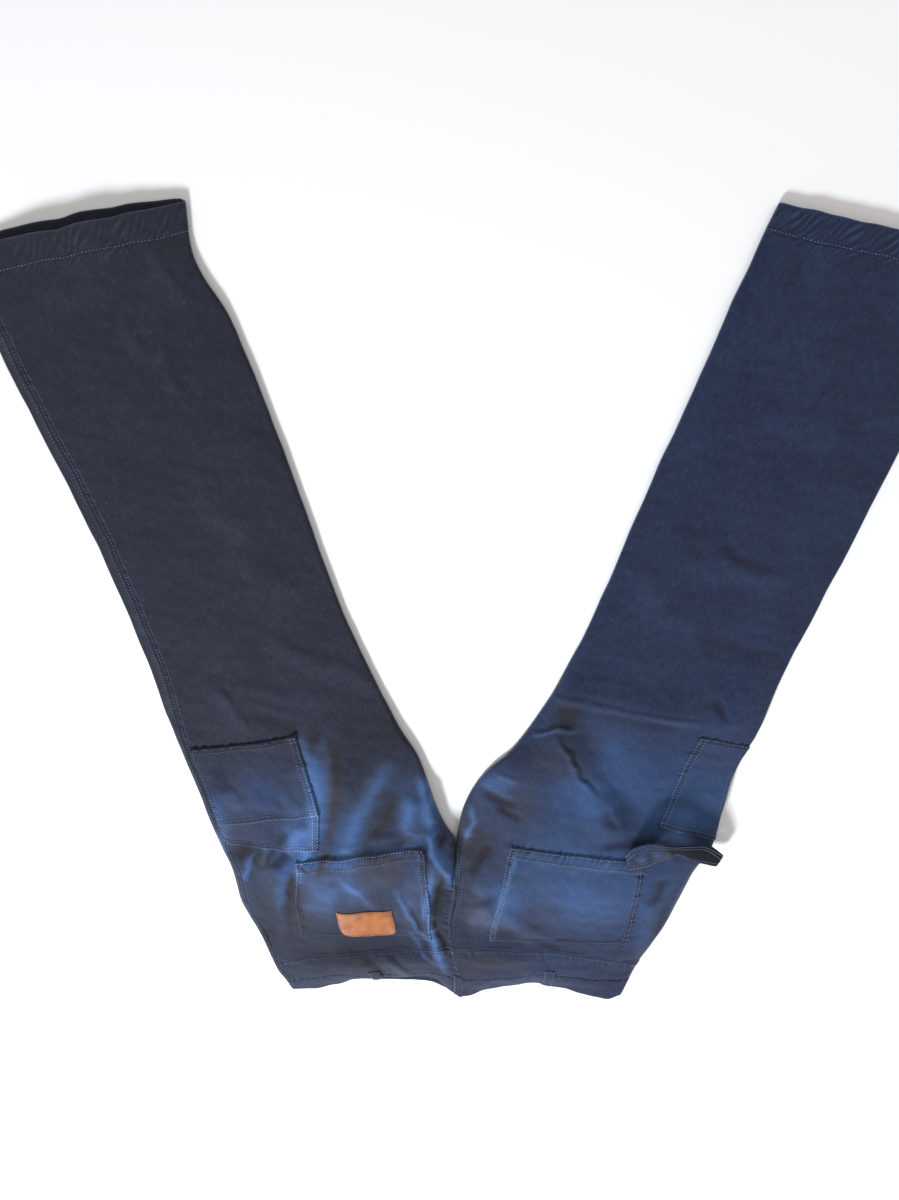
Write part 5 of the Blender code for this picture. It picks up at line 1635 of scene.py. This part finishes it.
def build_strap():
    """The hammer strap: a ribbon standing clear of the leg between its two sewn ends."""
    over_pocket = CLOTH / 2 + SEAM_GAP + CLOTH + STRAP_REST + STRAP_CLOTH / 2
    over_panel = CLOTH / 2 + STRAP_REST + STRAP_CLOTH / 2
    ends = []
    for ((u0, p0), (u1, p1)), lift in ((STRAP_START, over_pocket), (STRAP_END, over_panel)):
        spots = ((u0, p0), ((u0 + u1) / 2, (p0 + p1) / 2), (u1, p1))
        ends.append(np.concatenate([seat_on(LEFT, u, p, lift) for u, p in spots]))
    stations = [ends[0]]
    for row in STRAP:
        hems, waist = np.array(row[1:4]), np.array(row[4:7])
        stations.append(np.concatenate([hems, (hems + waist) / 2 + (0.0, 0.0, STRAP_ARCH), waist]))
    stations = np.array([*stations, ends[1]])
    at = np.linspace(0.0, len(stations) - 1.0, STRAP_SPOTS_ALONG)
    curve = np.stack([spline(stations[:, k], at) for k in range(9)], axis=1)
    hems, middle, waist = curve[:, None, 0:3], curve[:, None, 3:6], curve[:, None, 6:9]
    s = np.linspace(0.0, 1.0, STRAP_SPOTS_ACROSS)[None, :, None]
    points = hems * (1 - s) * (1 - 2 * s) + middle * 4 * s * (1 - s) + waist * s * (2 * s - 1)
    half_thick = STRAP_CLOTH / 2
    add_cloth("hammer_strap", "hammer_strap", Surface(points), -half_thick, half_thick, DENIM_DOUBLE,
              tint=strap_tint)


# The button head's outline: radius as a share of its own, height as a share of its own
BUTTON_OUTLINE = [
    (0.00, 0.35),
    (0.50, 0.35),
    (0.58, 0.12),
    (0.70, 0.00),
    (0.88, 0.10),
    (1.00, 0.40),
    (0.98, 0.80),
    (0.84, 1.00),
    (0.00, 1.00),
]
BUTTON_TURNS = 64


def build_button():
    """The button head, turned from its outline, beneath the lapped ends of the waistband."""
    x, y = BUTTON_CENTRE
    low, high = BUTTON_HEIGHTS
    vertices, faces = [], []
    turns = np.arange(BUTTON_TURNS) * 2 * np.pi / BUTTON_TURNS
    for share, height in BUTTON_OUTLINE[1:-1]:
        ring = BUTTON_RADIUS * share
        level = np.full(BUTTON_TURNS, low + (high - low) * height)
        vertices.append(np.stack([x + ring * np.cos(turns), y + ring * np.sin(turns), level], axis=1))
    count = len(vertices)
    for ring in range(count - 1):
        for k in range(BUTTON_TURNS):
            after = (k + 1) % BUTTON_TURNS
            here, there = ring * BUTTON_TURNS, (ring + 1) * BUTTON_TURNS
            faces.append((here + k, here + after, there + after, there + k))
    faces.append(tuple(range(BUTTON_TURNS))[::-1])
    faces.append(tuple(range((count - 1) * BUTTON_TURNS, count * BUTTON_TURNS)))
    piece = new_piece("button_head", np.concatenate(vertices), faces, BUTTON_BRASS)
    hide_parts("button")


FLOOR_SIZE, FLOOR_DROP = 12.0, 0.0008
FLOOR_COLOUR = (0.94, 0.94, 0.94, 1.0)


def build_stage():
    bpy.ops.mesh.primitive_plane_add(size=FLOOR_SIZE, location=(0.0, 0.0, -FLOOR_DROP))
    floor = bpy.context.object
    floor.name = "floor"
    material, shader = principled("floor", 0.9)
    shader.inputs["Base Color"].default_value = FLOOR_COLOUR
    floor.data.materials.append(material)


# The camera: its place, its tilt in degrees, and its lens and sensor in millimetres
CAMERA_PLACE = (-0.027, 0.349, 0.905)
CAMERA_TILT = -17.0
CAMERA_LENS, CAMERA_SENSOR = 24.63, 36.0

# Lights: name, place, size, power in watts, colour
LIGHTS = [
    ("key", (-1.0, -1.7, 1.35), 0.45, 84.0, (0.88, 0.94, 1.0)),
    ("fill", (1.4, 1.2, 1.5), 1.8, 9.0, (1.0, 0.93, 0.88)),
]
STUDIO_COLOUR, STUDIO_STRENGTH = (1.0, 0.985, 0.97, 1.0), 0.46


def build_camera():
    data = bpy.data.cameras.new("camera")
    data.lens = CAMERA_LENS
    data.sensor_width = CAMERA_SENSOR
    camera = bpy.data.objects.new("camera", data)
    camera.location = CAMERA_PLACE
    camera.rotation_euler = (math.radians(CAMERA_TILT), 0.0, 0.0)
    bpy.context.scene.collection.objects.link(camera)
    bpy.context.scene.camera = camera
    bpy.context.scene.view_settings.view_transform = "Standard"


def build_lights():
    world = bpy.data.worlds.new("studio")
    world.use_nodes = True
    background = world.node_tree.nodes["Background"]
    background.inputs["Color"].default_value = STUDIO_COLOUR
    background.inputs["Strength"].default_value = STUDIO_STRENGTH
    bpy.context.scene.world = world
    for name, place, size, power, colour in LIGHTS:
        data = bpy.data.lights.new(name, "AREA")
        data.size = size
        data.energy = power
        data.color = colour
        light = bpy.data.objects.new(name, data)
        light.location = place
        x, y, z = place
        light.rotation_euler = (math.atan2(math.hypot(x, y), z), 0.0, math.atan2(x, -y))
        bpy.context.scene.collection.objects.link(light)


build_camera()
build_panels()
build_sewn_on()
build_band()
build_loops()
build_patch()
build_strap()
build_button()
build_stage()
build_lights()

bpy.context.view_layer.update()
